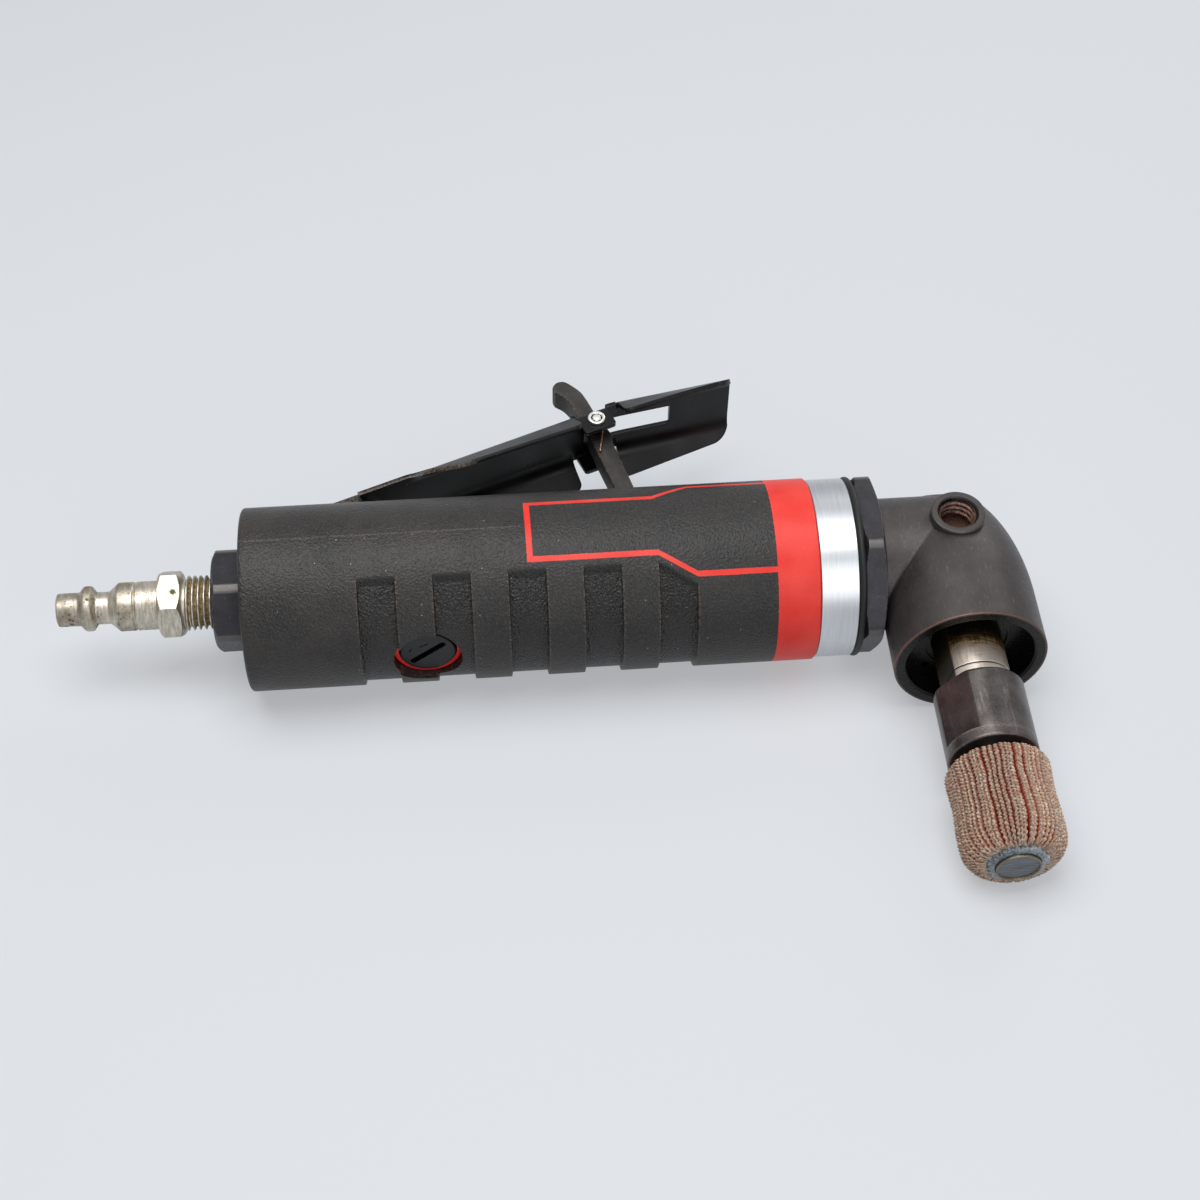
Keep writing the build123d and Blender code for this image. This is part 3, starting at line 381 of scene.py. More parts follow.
def gripComposite():
    # Glass-filled nylon moulded in a spark-eroded tool: matt black with a leathery grain and printed lines.
    size = {
        "grain": 0.52, "pocketGrain": 0.6,  # mm; the true grain is about 0.3, coarsened to show
        "cloud": 9.0, "pepper": 0.5, "dust": 3.4, "dustSheenFrom": -86.0, "dustSheenTo": -128.0,
        "lineHalf": 0.7, "barX": -104.7, "lineAngle": 22.0, "wideAngle": 36.5, "slantFrom": -74.2,
        "slantTo": -65.0, "bandFrom": -45.9, "middle": 88.6, "radius": 22.5,
    }
    near, far = math.radians(size["lineAngle"]), math.radians(size["wideAngle"])
    material, tree, shader, place, pocket, wear = startFinish(
        "glassFilledNylonMoulded", "pocket", "wear", **{"IOR": 1.53, "Specular IOR Level": 0.32})
    x, y, z = addNode(tree, split, {0: place}).outputs
    fine = addNode(tree, voronoi, {"Vector": place, "Scale": 1 / size["grain"]}, feature="SMOOTH_F1")
    made = workOut(tree, {}, [
        ("coarse", voronoi, place, None, 1 / size["pocketGrain"]),
        ("dust", voronoi, place, None, 1 / size["dust"]),
        ("cloud", noise, place, None, 1 / size["cloud"], 4.0),
        ("pepper", noise, place, None, 1 / size["pepper"], 2.0),
        ("grain", mix, pocket, None, fine, "coarse"),
        ("base", colourRamp, "grain", [(0.08, "#262628"), (0.3, "#171719"), (0.6, "#0b0b0d")]),
        ("speck", colourRamp, "pepper", [(0.36, "#0b0b0d"), (0.5, "#171718"), (0.68, "#47443f")]),
        ("ink", colourRamp, "cloud", [(0.3, "#ea2f25"), (0.7, "#f6473b")]),
        # handling leaves a pale haze on the rear half; it is also a painted highlight, lightening the rear
        # where the sheen shows
        ("haze", mapRange, x, size["dustSheenTo"], size["dustSheenFrom"], 0.44, 0.24),
        ("shade", mapRange, "cloud", 0.3, 0.65, 0.14, "haze"),
        # pockets get painted shade, darkest on their walls, and are rubbed along their edges
        ("wall", mapRange, pocket, 0.02, 0.3, 0.0, 0.75),
        ("floor", mapRange, pocket, 0.8, 0.98, 1.0, 0.55),
        ("sunk", "MULTIPLY", "wall", "floor"),
        ("rub", mapRange, "pepper", 0.42, 0.7, 0.0, 0.8),
        ("rub", "MULTIPLY", wear, "rub"),
        ("mote", "LESS_THAN", "dust", 0.04),
        # printed frame: a bar, two side lines that step apart, and a full band at the front
        ("under", "MULTIPLY", y, -1.0),
        ("offset", "ARCTAN2", z, "under", "SUBTRACT", math.radians(size["middle"]), "ABSOLUTE"),
        ("reach", mapRange, x, size["slantFrom"], size["slantTo"], near, far),
        ("ragged", "SUBTRACT", "pepper", 0.5, "MULTIPLY", 0.3),
        ("aside", "SUBTRACT", "offset", "reach", "MULTIPLY", size["radius"]),
        ("line", "ABSOLUTE", "aside", "ADD", "ragged", "LESS_THAN", size["lineHalf"]),
        ("ahead", "GREATER_THAN", x, size["barX"] - size["lineHalf"]),
        ("line", "MULTIPLY", "line", "ahead"),
        ("bar", "SUBTRACT", x, size["barX"], "ABSOLUTE", "ADD", "ragged", "LESS_THAN", size["lineHalf"]),
        ("between", "LESS_THAN", "aside", 0.0),
        ("bar", "MULTIPLY", "bar", "between"),
        ("band", "ADD", x, "ragged", "GREATER_THAN", size["bandFrom"]),
        ("printed", "MAXIMUM", "line", "bar", "MAXIMUM", "band"),
        ("rough", mapRange, "pepper", 0.0, 1.0, 0.3, 0.5),
        ("glint", "MULTIPLY", pocket, 0.8),
        ("rough", mix, "glint", None, "rough", 0.33),
        ("rough", mix, "printed", None, "rough", 0.42),
        ("height", "ADD", "grain", "pepper"),
        ("crisp", mapRange, pocket, 0.0, 1.0, 1.0, 2.0),
        ("height", "MULTIPLY", "height", "crisp"),
        ("strength", mix, "printed", None, 0.8, 0.15),
    ])
    layers = [(0.5, "speck"), ("shade", "#48433f"), ("sunk", "#0a0a0b"), ("rub", "#77695b"),
              ("mote", "#a39b8c"), ("printed", "ink")]
    return dressed(material, shader, made, "base", layers, ("height", "strength", 0.2))


def blackOxide(name, dark, light, rubbed, roughness, wearShare, drawn=(1, 1, 1), metallic=0.55,
               under="#a3948a", relief=0.25, grain=0.55):
    # Steel blacked in hot salts: a thin dark film that keeps a metal's sheen, rubs bright at edges, and
    # browns where oil has dried. Scratches follow the way the piece is handled.
    material, tree, shader, place, edge, bare, crease = startFinish(
        name, "edge", "bare", "crease", **{"Metallic": metallic, "Specular IOR Level": 0.35})
    stretch = addNode(tree, vectorMath, {0: place, 1: drawn}, operation="MULTIPLY")
    made = workOut(tree, {}, [
        ("cloud", noise, place, None, 1 / 6.0, 5.0, 0.6),
        ("grit", noise, place, None, 1 / grain, 3.0),
        ("scratch", noise, stretch, None, 1 / 0.9, 4.0, 0.7),
        ("film", colourRamp, "cloud", [(0.3, dark), (0.72, light)]),
        ("lines", colourRamp, "scratch", [(0.58, 0.0), (0.72, 0.6)]),
        ("worn", mapRange, "grit", 0.35, 0.65, -0.3, 0.35),
        ("worn", "ADD", edge, "worn", mapRange, 0.45, 0.95, 0.0, wearShare),
        # painted shade: hollows and creases darkened
        ("grime", "MULTIPLY", crease, 0.8),
        ("rough", mapRange, "grit", 0.25, 0.75, roughness - 0.1, roughness + 0.12),
        ("height", "ADD", "grit", "scratch"),
    ])
    layers = [("lines", rubbed), (bare, "#8d8883"), ("grime", "#131111"), ("worn", under)]
    return dressed(material, shader, made, "film", layers, ("height", relief, 0.06))


def brightSteel(name, pale, dull, stain, stainFrom, roughness, drawn=(1, 1, 1), metallic=1.0, relief=0.2,
                coveredTo=None):
    # Bare or plated metal with fine tool marks along one way and stains that gather in patches.
    material, tree, shader, place, edge = startFinish(name, "edge")
    stretch = addNode(tree, vectorMath, {0: place, 1: drawn}, operation="MULTIPLY")
    made = workOut(tree, {}, [
        ("marks", noise, stretch, None, 1 / 0.35, 3.0),
        ("cloud", noise, place, None, 1 / 2.6, 6.0, 0.65),
        ("metal", colourRamp, "marks", [(0.3, dull), (0.65, pale)]),
        ("patch", mapRange, "cloud", stainFrom, stainFrom + 0.12),
        ("bright", "MULTIPLY", edge, 0.4),
        ("sheen", mapRange, "patch", 0.0, 1.0, metallic, 0.25),
        ("rough", mapRange, "marks", 0.25, 0.75, roughness - 0.4 * relief, roughness + 0.5 * relief),
        ("rough", mix, "patch", None, "rough", 0.75),
    ])
    layers = [("patch", stain), ("bright", pale)]
    if coveredTo is not None:
        # as cast and oily under the sleeve, turned bright only where it shows
        x = addNode(tree, split, {0: place}).outputs[0]
        workOut(tree, made, [("covered", "LESS_THAN", x, coveredTo)])
        layers.append(("covered", "#2c2b2a"))
    return dressed(material, shader, made, "metal", layers, ("marks", relief, 0.04))


def mouldedFinish(name, dark, light, grain, roughness, ior, depth):
    # Moulded, painted or pressed stock without metal sheen: two near shades and a fine surface grain.
    material, tree, shader, place, edge = startFinish(
        name, "edge", **{"IOR": ior, "Specular IOR Level": 0.35})
    made = workOut(tree, {}, [
        ("fine", noise, place, None, 1 / grain, 4.0),
        ("cloud", noise, place, None, 1 / 7.0, 3.0),
        ("both", mix, 0.5, None, "fine", "cloud"),
        ("body", colourRamp, "both", [(0.35, dark), (0.65, light)]),
        ("rubbed", "MULTIPLY", edge, 0.35),
        ("rough", mapRange, "fine", 0.3, 0.7, roughness - 0.06, roughness + 0.08),
    ])
    return dressed(material, shader, made, "body", [("rubbed", light)], ("fine", 0.3, depth))


def rustedZinc():
    # Zinc-plated steel turned in a lathe, years in a damp shop: grey bloom, brown pits, rusty thread.
    size = {"pits": 1.5, "smallPits": 0.7, "rings": 0.4, "bloom": 3.0, "grit": 0.5,
            "spotAt": (-190.8, -2.03, 7.32), "cleanFrom": -195.5, "from": -218.2, "to": -195.4}
    material, tree, shader, place, edge, rust = startFinish("zincPlatedSteelPitted", "edge", "rust")
    stretch = addNode(tree, vectorMath, {0: place, 1: (1, 0.12, 0.12)}, operation="MULTIPLY")
    fromSpot = addNode(tree, vectorMath, {0: place, 1: size["spotAt"]}, operation="DISTANCE")
    x = addNode(tree, split, {0: place}).outputs[0]
    made = {}
    for name in ("pits", "smallPits"):
        cell = addNode(tree, voronoi, {"Vector": place, "Scale": 1 / size[name]})
        pick = addNode(tree, "ShaderNodeSeparateColor", {0: cell.outputs["Color"]})
        workOut(tree, made, [
            (name, mapRange, pick, 0.38, 1.0, 0.0, 0.46),
            (name, "SUBTRACT", name, cell),
            (name, mapRange, name, -0.04, 0.08),
        ])
    workOut(tree, made, [
        ("rings", noise, stretch, None, 1 / size["rings"], 3.0),
        ("bloom", noise, place, None, 1 / size["bloom"], 6.0, 0.65),
        ("grit", noise, place, None, 1 / size["grit"], 3.0),
        ("metal", colourRamp, "rings", [(0.3, "#a8a194"), (0.65, "#d8d1c3")]),
        ("flake", colourRamp, "grit", [(0.3, "#453823"), (0.5, "#7f6a42"), (0.7, "#ab986c")]),
        # the neck and the second half of the body stay cleaner
        ("along", mapRange, x, size["from"], size["to"]),
        ("exposed", colourRamp, "along", [
            (0.38, 1.0), (0.42, 0.3), (0.56, 0.3), (0.6, 1.0), (0.76, 1.0), (0.8, 0.35),
        ]),
        ("dull", mapRange, "bloom", 0.45, 0.64, 0.0, 0.75, "MULTIPLY", "exposed"),
        # handled parts hold more dirt: the nose, its ring and the first half of the body
        ("soiled", colourRamp, "along", [
            (0.2, 0.42), (0.38, 0.36), (0.42, 0.03), (0.56, 0.03), (0.6, 0.5), (0.76, 0.4), (0.8, 0.1),
        ]),
        ("soiled", "MULTIPLY", "soiled", "bloom", "MULTIPLY", 1.7),
        # pits gather in patches, and the hexagon has few
        ("pitted", "MAXIMUM", "pits", "smallPits"),
        ("clean", "GREATER_THAN", x, size["cleanFrom"]),
        ("patchy", mapRange, "bloom", 0.38, 0.54, 0.25, 0.85, "MULTIPLY", "exposed"),
        ("patchy", mix, "clean", None, "patchy", 0.06),
        ("pitted", "MULTIPLY", "pitted", "patchy"),
        # one large spot on the top flat of the hexagon
        ("ragged", mapRange, "grit", 0.0, 1.0, -0.5, 0.5),
        ("spot", "ADD", fromSpot, "ragged", mapRange, 0.55, 0.85, 0.85, 0.0),
        ("pitted", "MAXIMUM", "pitted", "spot"),
        ("bright", "MULTIPLY", edge, 0.5),
        ("spoiled", "MAXIMUM", rust, "pitted"),
        ("sheen", mapRange, "spoiled", 0.0, 1.0, 1.0, 0.1),
        ("rough", mapRange, "bloom", 0.3, 0.7, 0.34, 0.5),
        ("rough", mix, "spoiled", None, "rough", 0.8),
        ("height", "SUBTRACT", "rings", "pitted"),
    ])
    layers = [("dull", "#85765f"), ("soiled", "#7d7361"), ("pitted", "#54452f"), ("bright", "#dcd6c8"),
              (rust, "flake")]
    return dressed(material, shader, made, "metal", layers, ("height", 0.35, 0.06))


def stainedSpindle():
    # Ground alloy steel run hot in grease: bright at the nut, straw and brown heat stains further in, then
    # painted shade going to black towards the seal inside the head.
    size = {"brightAt": -37.0, "darkAt": -25.5, "streak": 0.5, "grooveAt": -37.7, "grooveHalf": 0.16}
    material, tree, shader, place, edge, flat = startFinish(
        "groundSpindleSteelStained", "edge", "flat", **{"Metallic": 0.75})
    y = addNode(tree, split, {0: place}).outputs[1]
    lengthwise = addNode(tree, vectorMath, {0: place, 1: (1, 0.12, 1)}, operation="MULTIPLY")
    around = addNode(tree, vectorMath, {0: place, 1: (0.15, 1, 0.15)}, operation="MULTIPLY")
    made = workOut(tree, {}, [
        ("streak", noise, lengthwise, None, 1 / size["streak"], 4.0),
        ("ring", noise, around, None, 1 / size["streak"], 4.0),
        ("wander", "ADD", "streak", "ring", mapRange, 0.7, 1.3, -0.16, 0.16),
        ("depth", mapRange, y, size["brightAt"], size["darkAt"], "ADD", "wander"),
        ("body", colourRamp, "depth", [
            (0.12, "#d9cdc1"), (0.38, "#cbb8a5"), (0.48, "#b58d52"), (0.6, "#6b5030"), (0.8, "#1e1b16"),
        ]),
        ("scuff", mapRange, "ring", 0.62, 0.7, 0.0, 0.65),
        ("bright", "MULTIPLY", edge, 0.3),
        # painted shade: the groove drawn as a dark band
        ("groove", "SUBTRACT", y, size["grooveAt"], "ABSOLUTE", "LESS_THAN", size["grooveHalf"]),
        ("rough", mapRange, "streak", 0.3, 0.7, 0.28, 0.44),
    ])
    # the flat layer is painted shade on the wrench flats
    layers = [("scuff", "#5e4a3a"), ("bright", "#d8d0c6"), ("groove", "#2a211a"), (flat, "#39332e")]
    return dressed(material, shader, made, "body", layers, ("ring", 0.2, 0.04))


def leverPaint():
    # Stoved black enamel on pressed steel: glossy with a faint orange peel, rubbed to brown primer at edges.
    material, tree, shader, place, edge = startFinish(
        "stovedBlackEnamel", "edge", **{"IOR": 1.5, "Specular IOR Level": 0.3})
    made = workOut(tree, {}, [
        ("peel", noise, place, None, 1 / 1.1, 2.0),
        ("grit", noise, place, None, 1 / 0.6, 5.0),
        ("cloud", noise, place, None, 1 / 11.0, 4.0),
        ("film", colourRamp, "cloud", [(0.35, "#060607"), (0.7, "#0e0e10")]),
        ("worn", "MULTIPLY", edge, "grit", mapRange, 0.2, 0.46, 0.0, 0.8),
        ("dust", mapRange, "grit", 0.66, 0.74, 0.0, 0.25),
        ("rough", mapRange, "cloud", 0.3, 0.7, 0.24, 0.42),
    ])
    layers = [("worn", "#83766c"), ("dust", "#5b564f")]
    return dressed(material, shader, made, "film", layers, ("peel", 0.12, 0.1))


def abrasiveCloth():
    # Cotton cloth coated with grit in red resin and worn down: frayed tan and grey edges, red faces between.
    size = {"grit": 0.42, "fleck": 0.75, "patch": 6.0}
    material, tree, shader, place, depth, tone, across, bead = startFinish(
        "wornAbrasiveCloth", "depth", "tone", "across", "bead",
        **{"Roughness": 0.92, "Specular IOR Level": 0.2})
    made = workOut(tree, {}, [
        ("grit", noise, place, None, 1 / size["grit"], 3.0),
        ("fleck", voronoi, place, None, 1 / size["fleck"]),
        ("patch", noise, place, None, 1 / size["patch"], 3.0),
        ("tips", colourRamp, "grit",
         [(0.3, "#937967"), (0.45, "#cbae97"), (0.57, "#e8d1b9"), (0.68, "#f9f0e2")]),
        # red resin faces, painted darker the deeper they lie between the flaps, as shade
        ("faces", colourRamp, depth,
         [(0.04, "#b05c45"), (0.16, "#bd4631"), (0.4, "#8a2f21"), (0.62, "#2c130e")]),
        ("grey", "ADD", "patch", tone, mapRange, 0.75, 1.3, 0.0, 0.3),
        ("rosy", mapRange, "patch", 0.4, 0.62, 0.3, 0.0),
        ("pale", mapRange, "fleck", 0.1, 0.28, 0.55, 0.0),
        # shade between the beads of a strand and along its two sides
        ("beside", "ABSOLUTE", across, mapRange, 0.55, 1.0, 0.0, 0.5),
        ("between", mapRange, bead, -1.0, 0.4, 0.4, 0.0),
        ("under", mapRange, "grit", 0.3, 0.7, -0.05, 0.05),
        ("under", "ADD", depth, "under", mapRange, 0.045, 0.11),
    ])
    layers = [("grey", "#83807c"), ("rosy", "#b8806c"), ("pale", "#cdbfa8"), ("beside", "#8c5f4c"),
              ("between", "#7d6656"), ("under", "faces")]
    return dressed(material, shader, made, "tips", layers, ("grit", 0.9, 0.2))


# blackOxide: dark, light and rubbed shade, roughness, wear; brightSteel: pale, dull and stained shade, where
# stains start, roughness; mouldedFinish: dark and light shade, grain, roughness, index, relief
finishes = {
    "grip_composite": gripComposite(),
    "zinc_plated_steel": rustedZinc(),
    "black_oxide_steel": blackOxide("blackOxideSteel", "#1d1b1c", "#302c2b", "#4c4642", 0.42, 0.7),
    "sintered_bronze": brightSteel("sinteredBronze", "#b08a52", "#7d5f38", "#5b4630", 0.66, 0.5),
    "turned_aluminium": brightSteel("turnedAluminium", "#d2d4d7", "#c0c4c8", "#b0b2b4", 0.9, 0.32,
                                    (3, 0.04, 0.04), relief=0.04, coveredTo=-60.0),
    "felt": mouldedFinish("pressedWoolFelt", "#8d8a84", "#b5b1a9", 0.5, 0.92, 1.4, 0.2),
    "ground_steel": brightSteel("groundSteel", "#c9c4bb", "#989188", "#7a6248", 0.66, 0.3, (0.4, 4, 0.4)),
    "nitrile_rubber": mouldedFinish("nitrileRubber", "#0c0c0d", "#171718", 0.4, 0.5, 1.52, 0.04),
    "spring_steel": brightSteel("drawnSpringSteel", "#bdb9b1", "#87827a", "#5f4a38", 0.68, 0.3),
    "black_lever_paint": leverPaint(),
    "grey_sintered_steel": blackOxide("sinteredGreySteel", "#343231", "#4b4845", "#625d58", 0.55, 0.7),
    "copper_spring_steel": brightSteel("copperedSpringWire", "#dcb692", "#b18b69", "#6b4f3a", 0.7, 0.3),
    "black_nylon": mouldedFinish("mouldedBlackNylon", "#08090b", "#111317", 0.35, 0.46, 1.53, 0.04),
    "red_acetal": mouldedFinish("mouldedRedAcetal", "#ff2a28", "#ff4640", 0.6, 0.35, 1.48, 0.03),
    "cast_iron": blackOxide("honedCastIron", "#4a4846", "#6a6764", "#8a8580", 0.45, 0.5),
    "phenolic_laminate": mouldedFinish("clothPhenolicLaminate", "#6b4426", "#8d5f38", 0.5, 0.55, 1.6, 0.06),
    "abrasive_cloth": abrasiveCloth(),
    "resin_bond": mouldedFinish("greyResinBond", "#4b555b", "#bcc4c9", 0.55, 0.7, 1.55, 0.25),
}
headOxide = blackOxide("blackOxideForging", "#444040", "#524d4c", "#7a716a", 0.43, 0.8, (2.2, 0.35, 2.2), 0.6,
                       "#7d5a4c", 0.2)
nutOxide = blackOxide("blackOxideTurning", "#423f3e", "#69625f", "#8f8780", 0.32, 0.8, (1, 0.1, 1), 0.75,
                      grain=0.24)
hexOxide = blackOxide("blackOxideHexStock", "#2b2a2d", "#3e3c42", "#545155", 0.38, 0.6, metallic=0.3)
# very dark greased steel, also used as painted shade: inside the head, on the mouth face, in thread roots,
# the dial slot and the rivet groove
greaseAndShadeOxide = blackOxide("greasedSteelAndShade", "#0d0c0c", "#1a1714", "#3a332c", 0.24, 0.4, relief=0.9)
spindleSteel = stainedSpindle()
coreSteel = brightSteel("dulledMandrelSteel", "#7d8286", "#44494e", "#5f5546", 0.66, 0.4, (0.12, 1, 3))
rimSteel = brightSteel("brownedRimSteel", "#978873", "#63574a", "#473a2c", 0.6, 0.45, metallic=0.8)
portSteel = brightSteel("rustedPortThread", "#8a675a", "#3e2b23", "#281a14", 0.55, 0.34, metallic=0.75)
rivetZinc = brightSteel("zincPlatedRivet", "#f3f1ec", "#e2e0da", "#b9b3a8", 0.85, 0.34, relief=0.02)

slotOf = {}
for node, cadObject in cadNodes.items():
    for slotMark in cadObject.material_slots:
        slotOf[node] = slotMark.material.name if slotMark.material else ""
print("finishes made, slots on the frame:", sorted(set(slotOf.values())))


# Air plug with a tapered pipe thread

airPlug = {"hexTurn": 15.5, "hexSize": 15.2, "hexFrom": -194.9, "hexLength": 5.9, "threadPitch": 1.41,
           "threadDepth": 0.95, "threadLead": 0.5, "taper": 1 / 32, "bore": 3.0, "ring": -212.0,
           "noseRadius": 4.1, "ringRadius": 5.54, "neck": 3.95, "body": 5.97, "threadRadius": 6.8,
           "threadEnd": -174.5}


def buildAirPlug():
    p = airPlug
    tip = toolBox("air_plug")[0][0]
    ring, body, bore, hexFrom, threadEnd = p["ring"], p["body"], p["bore"], p["hexFrom"], p["threadEnd"]
    hexTo = hexFrom + p["hexLength"]
    nose = softened([
        (hexFrom + 1, bore), (tip, bore, 0.25), (tip, p["noseRadius"], 0.75),
        (ring - 2.15, p["noseRadius"], 0.7),
        (ring - 0.9, p["ringRadius"], 1.0), (ring + 0.9, p["ringRadius"], 1.0), (ring + 2.0, p["neck"], 0.6),
        (ring + 5.1, p["neck"], 0.8), (ring + 7.4, body, 0.7), (ring + 11.0, body, 0.1),
        (ring + 11.25, body - 0.22, 0.1), (ring + 11.55, body - 0.22, 0.1), (ring + 11.8, body, 0.1),
        (hexFrom + 0.5, body),
    ])
    corner, face = p["hexSize"] / math.sqrt(3), p["hexSize"] / 2 - 0.35
    blank = filled(softened([
        (hexFrom, body - 0.5), (hexFrom, face), (hexFrom + 1.0, corner, 0.15), (hexTo - 1.0, corner, 0.15),
        (hexTo, face), (hexTo, p["threadRadius"] - 1.2),
    ]), 0.25)
    endRadius = p["threadRadius"] - (threadEnd - hexTo) * p["taper"]
    thread = filled(np.array([
        (hexTo - 0.3, p["threadRadius"] - 0.9), (threadEnd - 0.6, endRadius), (threadEnd, endRadius - 0.5),
    ]), 0.11)
    inner = np.array([(threadEnd, endRadius - 0.5), (threadEnd, bore), (hexFrom, bore)])

    def ridges(along, radius, turn):
        phase = ((along - hexTo + p["threadLead"]) / p["threadPitch"] - turn / fullTurn) % 1
        tooth = np.clip((np.abs(2 * phase - 1) - 0.3) / 0.52, 0, 1)  # narrow crests, open roots
        crest = p["threadRadius"] - (along - hexTo) * p["taper"]
        started = smoothStep((along - hexTo - 0.1) / 0.7)
        ended = smoothStep((threadEnd - along) / 1.2)
        full = crest - p["threadDepth"] * (1 - tooth)
        relief = p["threadRadius"] - p["threadDepth"]
        return np.minimum(relief + (full - relief) * started, crest) * ended + (endRadius - 0.9) * (1 - ended)

    piece = newObject("airPlug", [
        lathe(nose, "x", 96), hexTurned(blank, p["hexSize"], p["hexTurn"], 180),
        lathe(thread, "x", 120, 0, ridges), lathe(inner, "x", 120),
    ])
    at = meshPoints(piece.data)
    below = p["threadRadius"] - (at[:, 0] - hexTo) * p["taper"] - np.hypot(at[:, 1], at[:, 2])
    inThread = (at[:, 0] > hexTo + 1.6) & (below < 2)
    setAttribute(piece.data, "rust", np.where(inThread, smoothStep(below / p["threadDepth"] * 1.7 - 0.4), 0))
    settle(piece, "housing", "zinc_plated_steel", "air_plug")


# Inlet bushing, a blunt hexagon behind the grip

bushing = {"hexSize": 22.9, "hexTurn": 54.8, "blunt": 0.48, "throat": 6.6, "barrel": 9.4, "bore": 4.2}


def buildBushing():
    p = bushing
    low, high = toolBox("inlet_bushing")
    rear, end, front = low[0], high[0], toolBox("grip_sleeve")[0][0] + 0.2
    corner = p["hexSize"] / math.sqrt(3) - p["blunt"]
    line = filled(softened([
        (end, p["barrel"]), (front, p["barrel"]), (front, corner), (rear + 0.9, corner, 0.2),
        (rear, p["hexSize"] / 2 - 0.35, 0.15), (rear, p["throat"] + 0.6, 0.2), (rear + 0.9, p["throat"]),
        (front, p["throat"] - 0.3), (front, p["bore"]), (end, p["bore"]), (end, p["barrel"]),
    ]), 0.3)
    piece = newObject("inletBushing", [hexTurned(line, p["hexSize"], p["hexTurn"], 180)])
    bareCorners(piece, corner)
    settle(piece, "housing", "black_oxide_steel", "inlet_bushing", finish=hexOxide)


# Grip sleeve with five finger pockets round its underside

grip = {"wall": 3.2, "rearEdge": 0.9, "frontEdge": 0.3, "pockets": 5, "firstPocket": -146.0,
        "pocketPitch": 17.93, "pocketWidth": 9.15, "pocketDepth": 1.15, "pocketReach": 60.9, "rampAngle": 5.2,
        "wallRun": 0.32, "slantFrom": 61.6, "slantTo": 46.1, "seamHeight": 0.12, "seamHalf": 0.3,
        "seamEnd": -106.0, "hinge": (-155.4, -142.0, 10.8), "stem": (-148.2, -136.5, 3.2), "recessX": -130.2,
        "recessRadius": 8.25}


def pocketShares(x, degrees):
    p = grip
    share, rub = np.zeros_like(x), np.zeros_like(x)
    for k in range(p["pockets"]):
        left = p["firstPocket"] + k * p["pocketPitch"]
        right = left + p["pocketWidth"]
        reach = np.full_like(x, p["pocketReach"])
        if k == p["pockets"] - 1:
            across = np.clip((x - left) / p["pocketWidth"], 0, 1)
            slant = p["slantFrom"] + (p["slantTo"] - p["slantFrom"]) * across
            reach = np.where(degrees > 0, slant, reach)
        inside = reach - np.abs(degrees)
        sides = smoothStep((x - left) / p["wallRun"]) * smoothStep((right - x) / p["wallRun"])
        share = np.maximum(share, sides * np.clip(inside / p["rampAngle"], 0, 1))
        near = np.exp(-((x - left) / 0.3) ** 2) + np.exp(-((x - right) / 0.3) ** 2)
        rub = np.maximum(rub, near * smoothStep(inside / 3))
    return share, rub


def buildGrip():
    p = grip
    low, high = toolBox("grip_sleeve")
    rear, front, radius = low[0], high[0], high[2]
    lines = list(np.arange(rear + 1.6, front - 0.6, 1.15))
    lines += [rear + p["rearEdge"] * (1 - math.cos(k * math.pi / 12)) for k in range(7)]
    lines += [front - 0.5, front - p["frontEdge"], front - 0.1, front]
    for k in range(p["pockets"]):
        for side, inward in ((0, 1), (p["pocketWidth"], -1)):
            edge = p["firstPocket"] + k * p["pocketPitch"] + side
            lines += [edge + inward * d for d in (-0.6, -0.3, -0.12, 0.0, 0.06, 0.12, 0.18, 0.25, 0.32, 0.5)]
    lines = spread(lines, 0.03)
    seamDegrees = math.degrees(p["seamHalf"] / radius)
    turns = list(np.arange(-180, 180, 2.5))
    turns += [s * t for s in (1, -1) for t in np.arange(43.7, 64, 0.7)]
    turns += [90 + k * seamDegrees / 2 for k in range(-4, 5)]
    turns = spread(turns, 0.08)
    x, degrees = np.meshgrid(lines, turns, indexing="ij")
    rise = np.clip((x - rear) / p["rearEdge"], 0, 1)
    rounding = p["rearEdge"] * (1 - np.sqrt(np.maximum(1 - (1 - rise) ** 2, 0)))
    bevel = np.clip((x - (front - p["frontEdge"])) / p["frontEdge"], 0, 1) * p["frontEdge"]
    seam = p["seamHeight"] * np.exp(-((degrees - 90) / seamDegrees) ** 2 * 2)
    seam = seam * smoothStep((p["seamEnd"] - x) / 4)
    r = radius - p["pocketDepth"] * pocketShares(x, degrees)[0] - rounding - bevel + seam * (rise >= 1)
    a = np.radians(degrees)
    outside = np.stack([x, -r * np.cos(a), r * np.sin(a)], -1)
    bore = np.full_like(r[0], radius - p["wall"])
    ends = np.repeat(np.array([front, front, rear, rear])[:, None], len(turns), 1)
    reach = np.stack([r[-1], bore, bore, r[0]])
    inner = np.stack([ends, -reach * np.cos(a[:1]), reach * np.sin(a[:1])], -1)
    piece = newObject("gripSleeve", [
        (outside.reshape(-1, 3), gridFaces(len(lines), len(turns), True)),
        (inner.reshape(-1, 3), gridFaces(4, len(turns), True)),
    ])
    rod = np.array([(-30, 0), (-30, p["recessRadius"]), (0, p["recessRadius"]), (0, 0)], float)
    openings = [brick((start, 0, -half), (end, 30, half)) for start, end, half in (p["hinge"], p["stem"])]
    cutAway(piece, *openings, moved(lathe(rod, "y", 72), (p["recessX"], 0, 0)))
    at = meshPoints(piece.data)
    degrees = np.degrees(np.arctan2(at[:, 2], -at[:, 1]))
    share, rub = pocketShares(at[:, 0], degrees)
    setAttribute(piece.data, "pocket", share)
    seamRub = 0.6 * np.exp(-((degrees - 90) / seamDegrees) ** 2) * (at[:, 0] < p["seamEnd"])
    setAttribute(piece.data, "wear", np.maximum(rub * 0.8, seamRub))
    settle(piece, "housing", "grip_composite", "grip_sleeve", sharp=40)


# Clamp nut and the seal behind it

clampNut = {"hexSize": 40.0, "hexTurn": 55.5, "blunt": 22.6, "throat": 16.6}


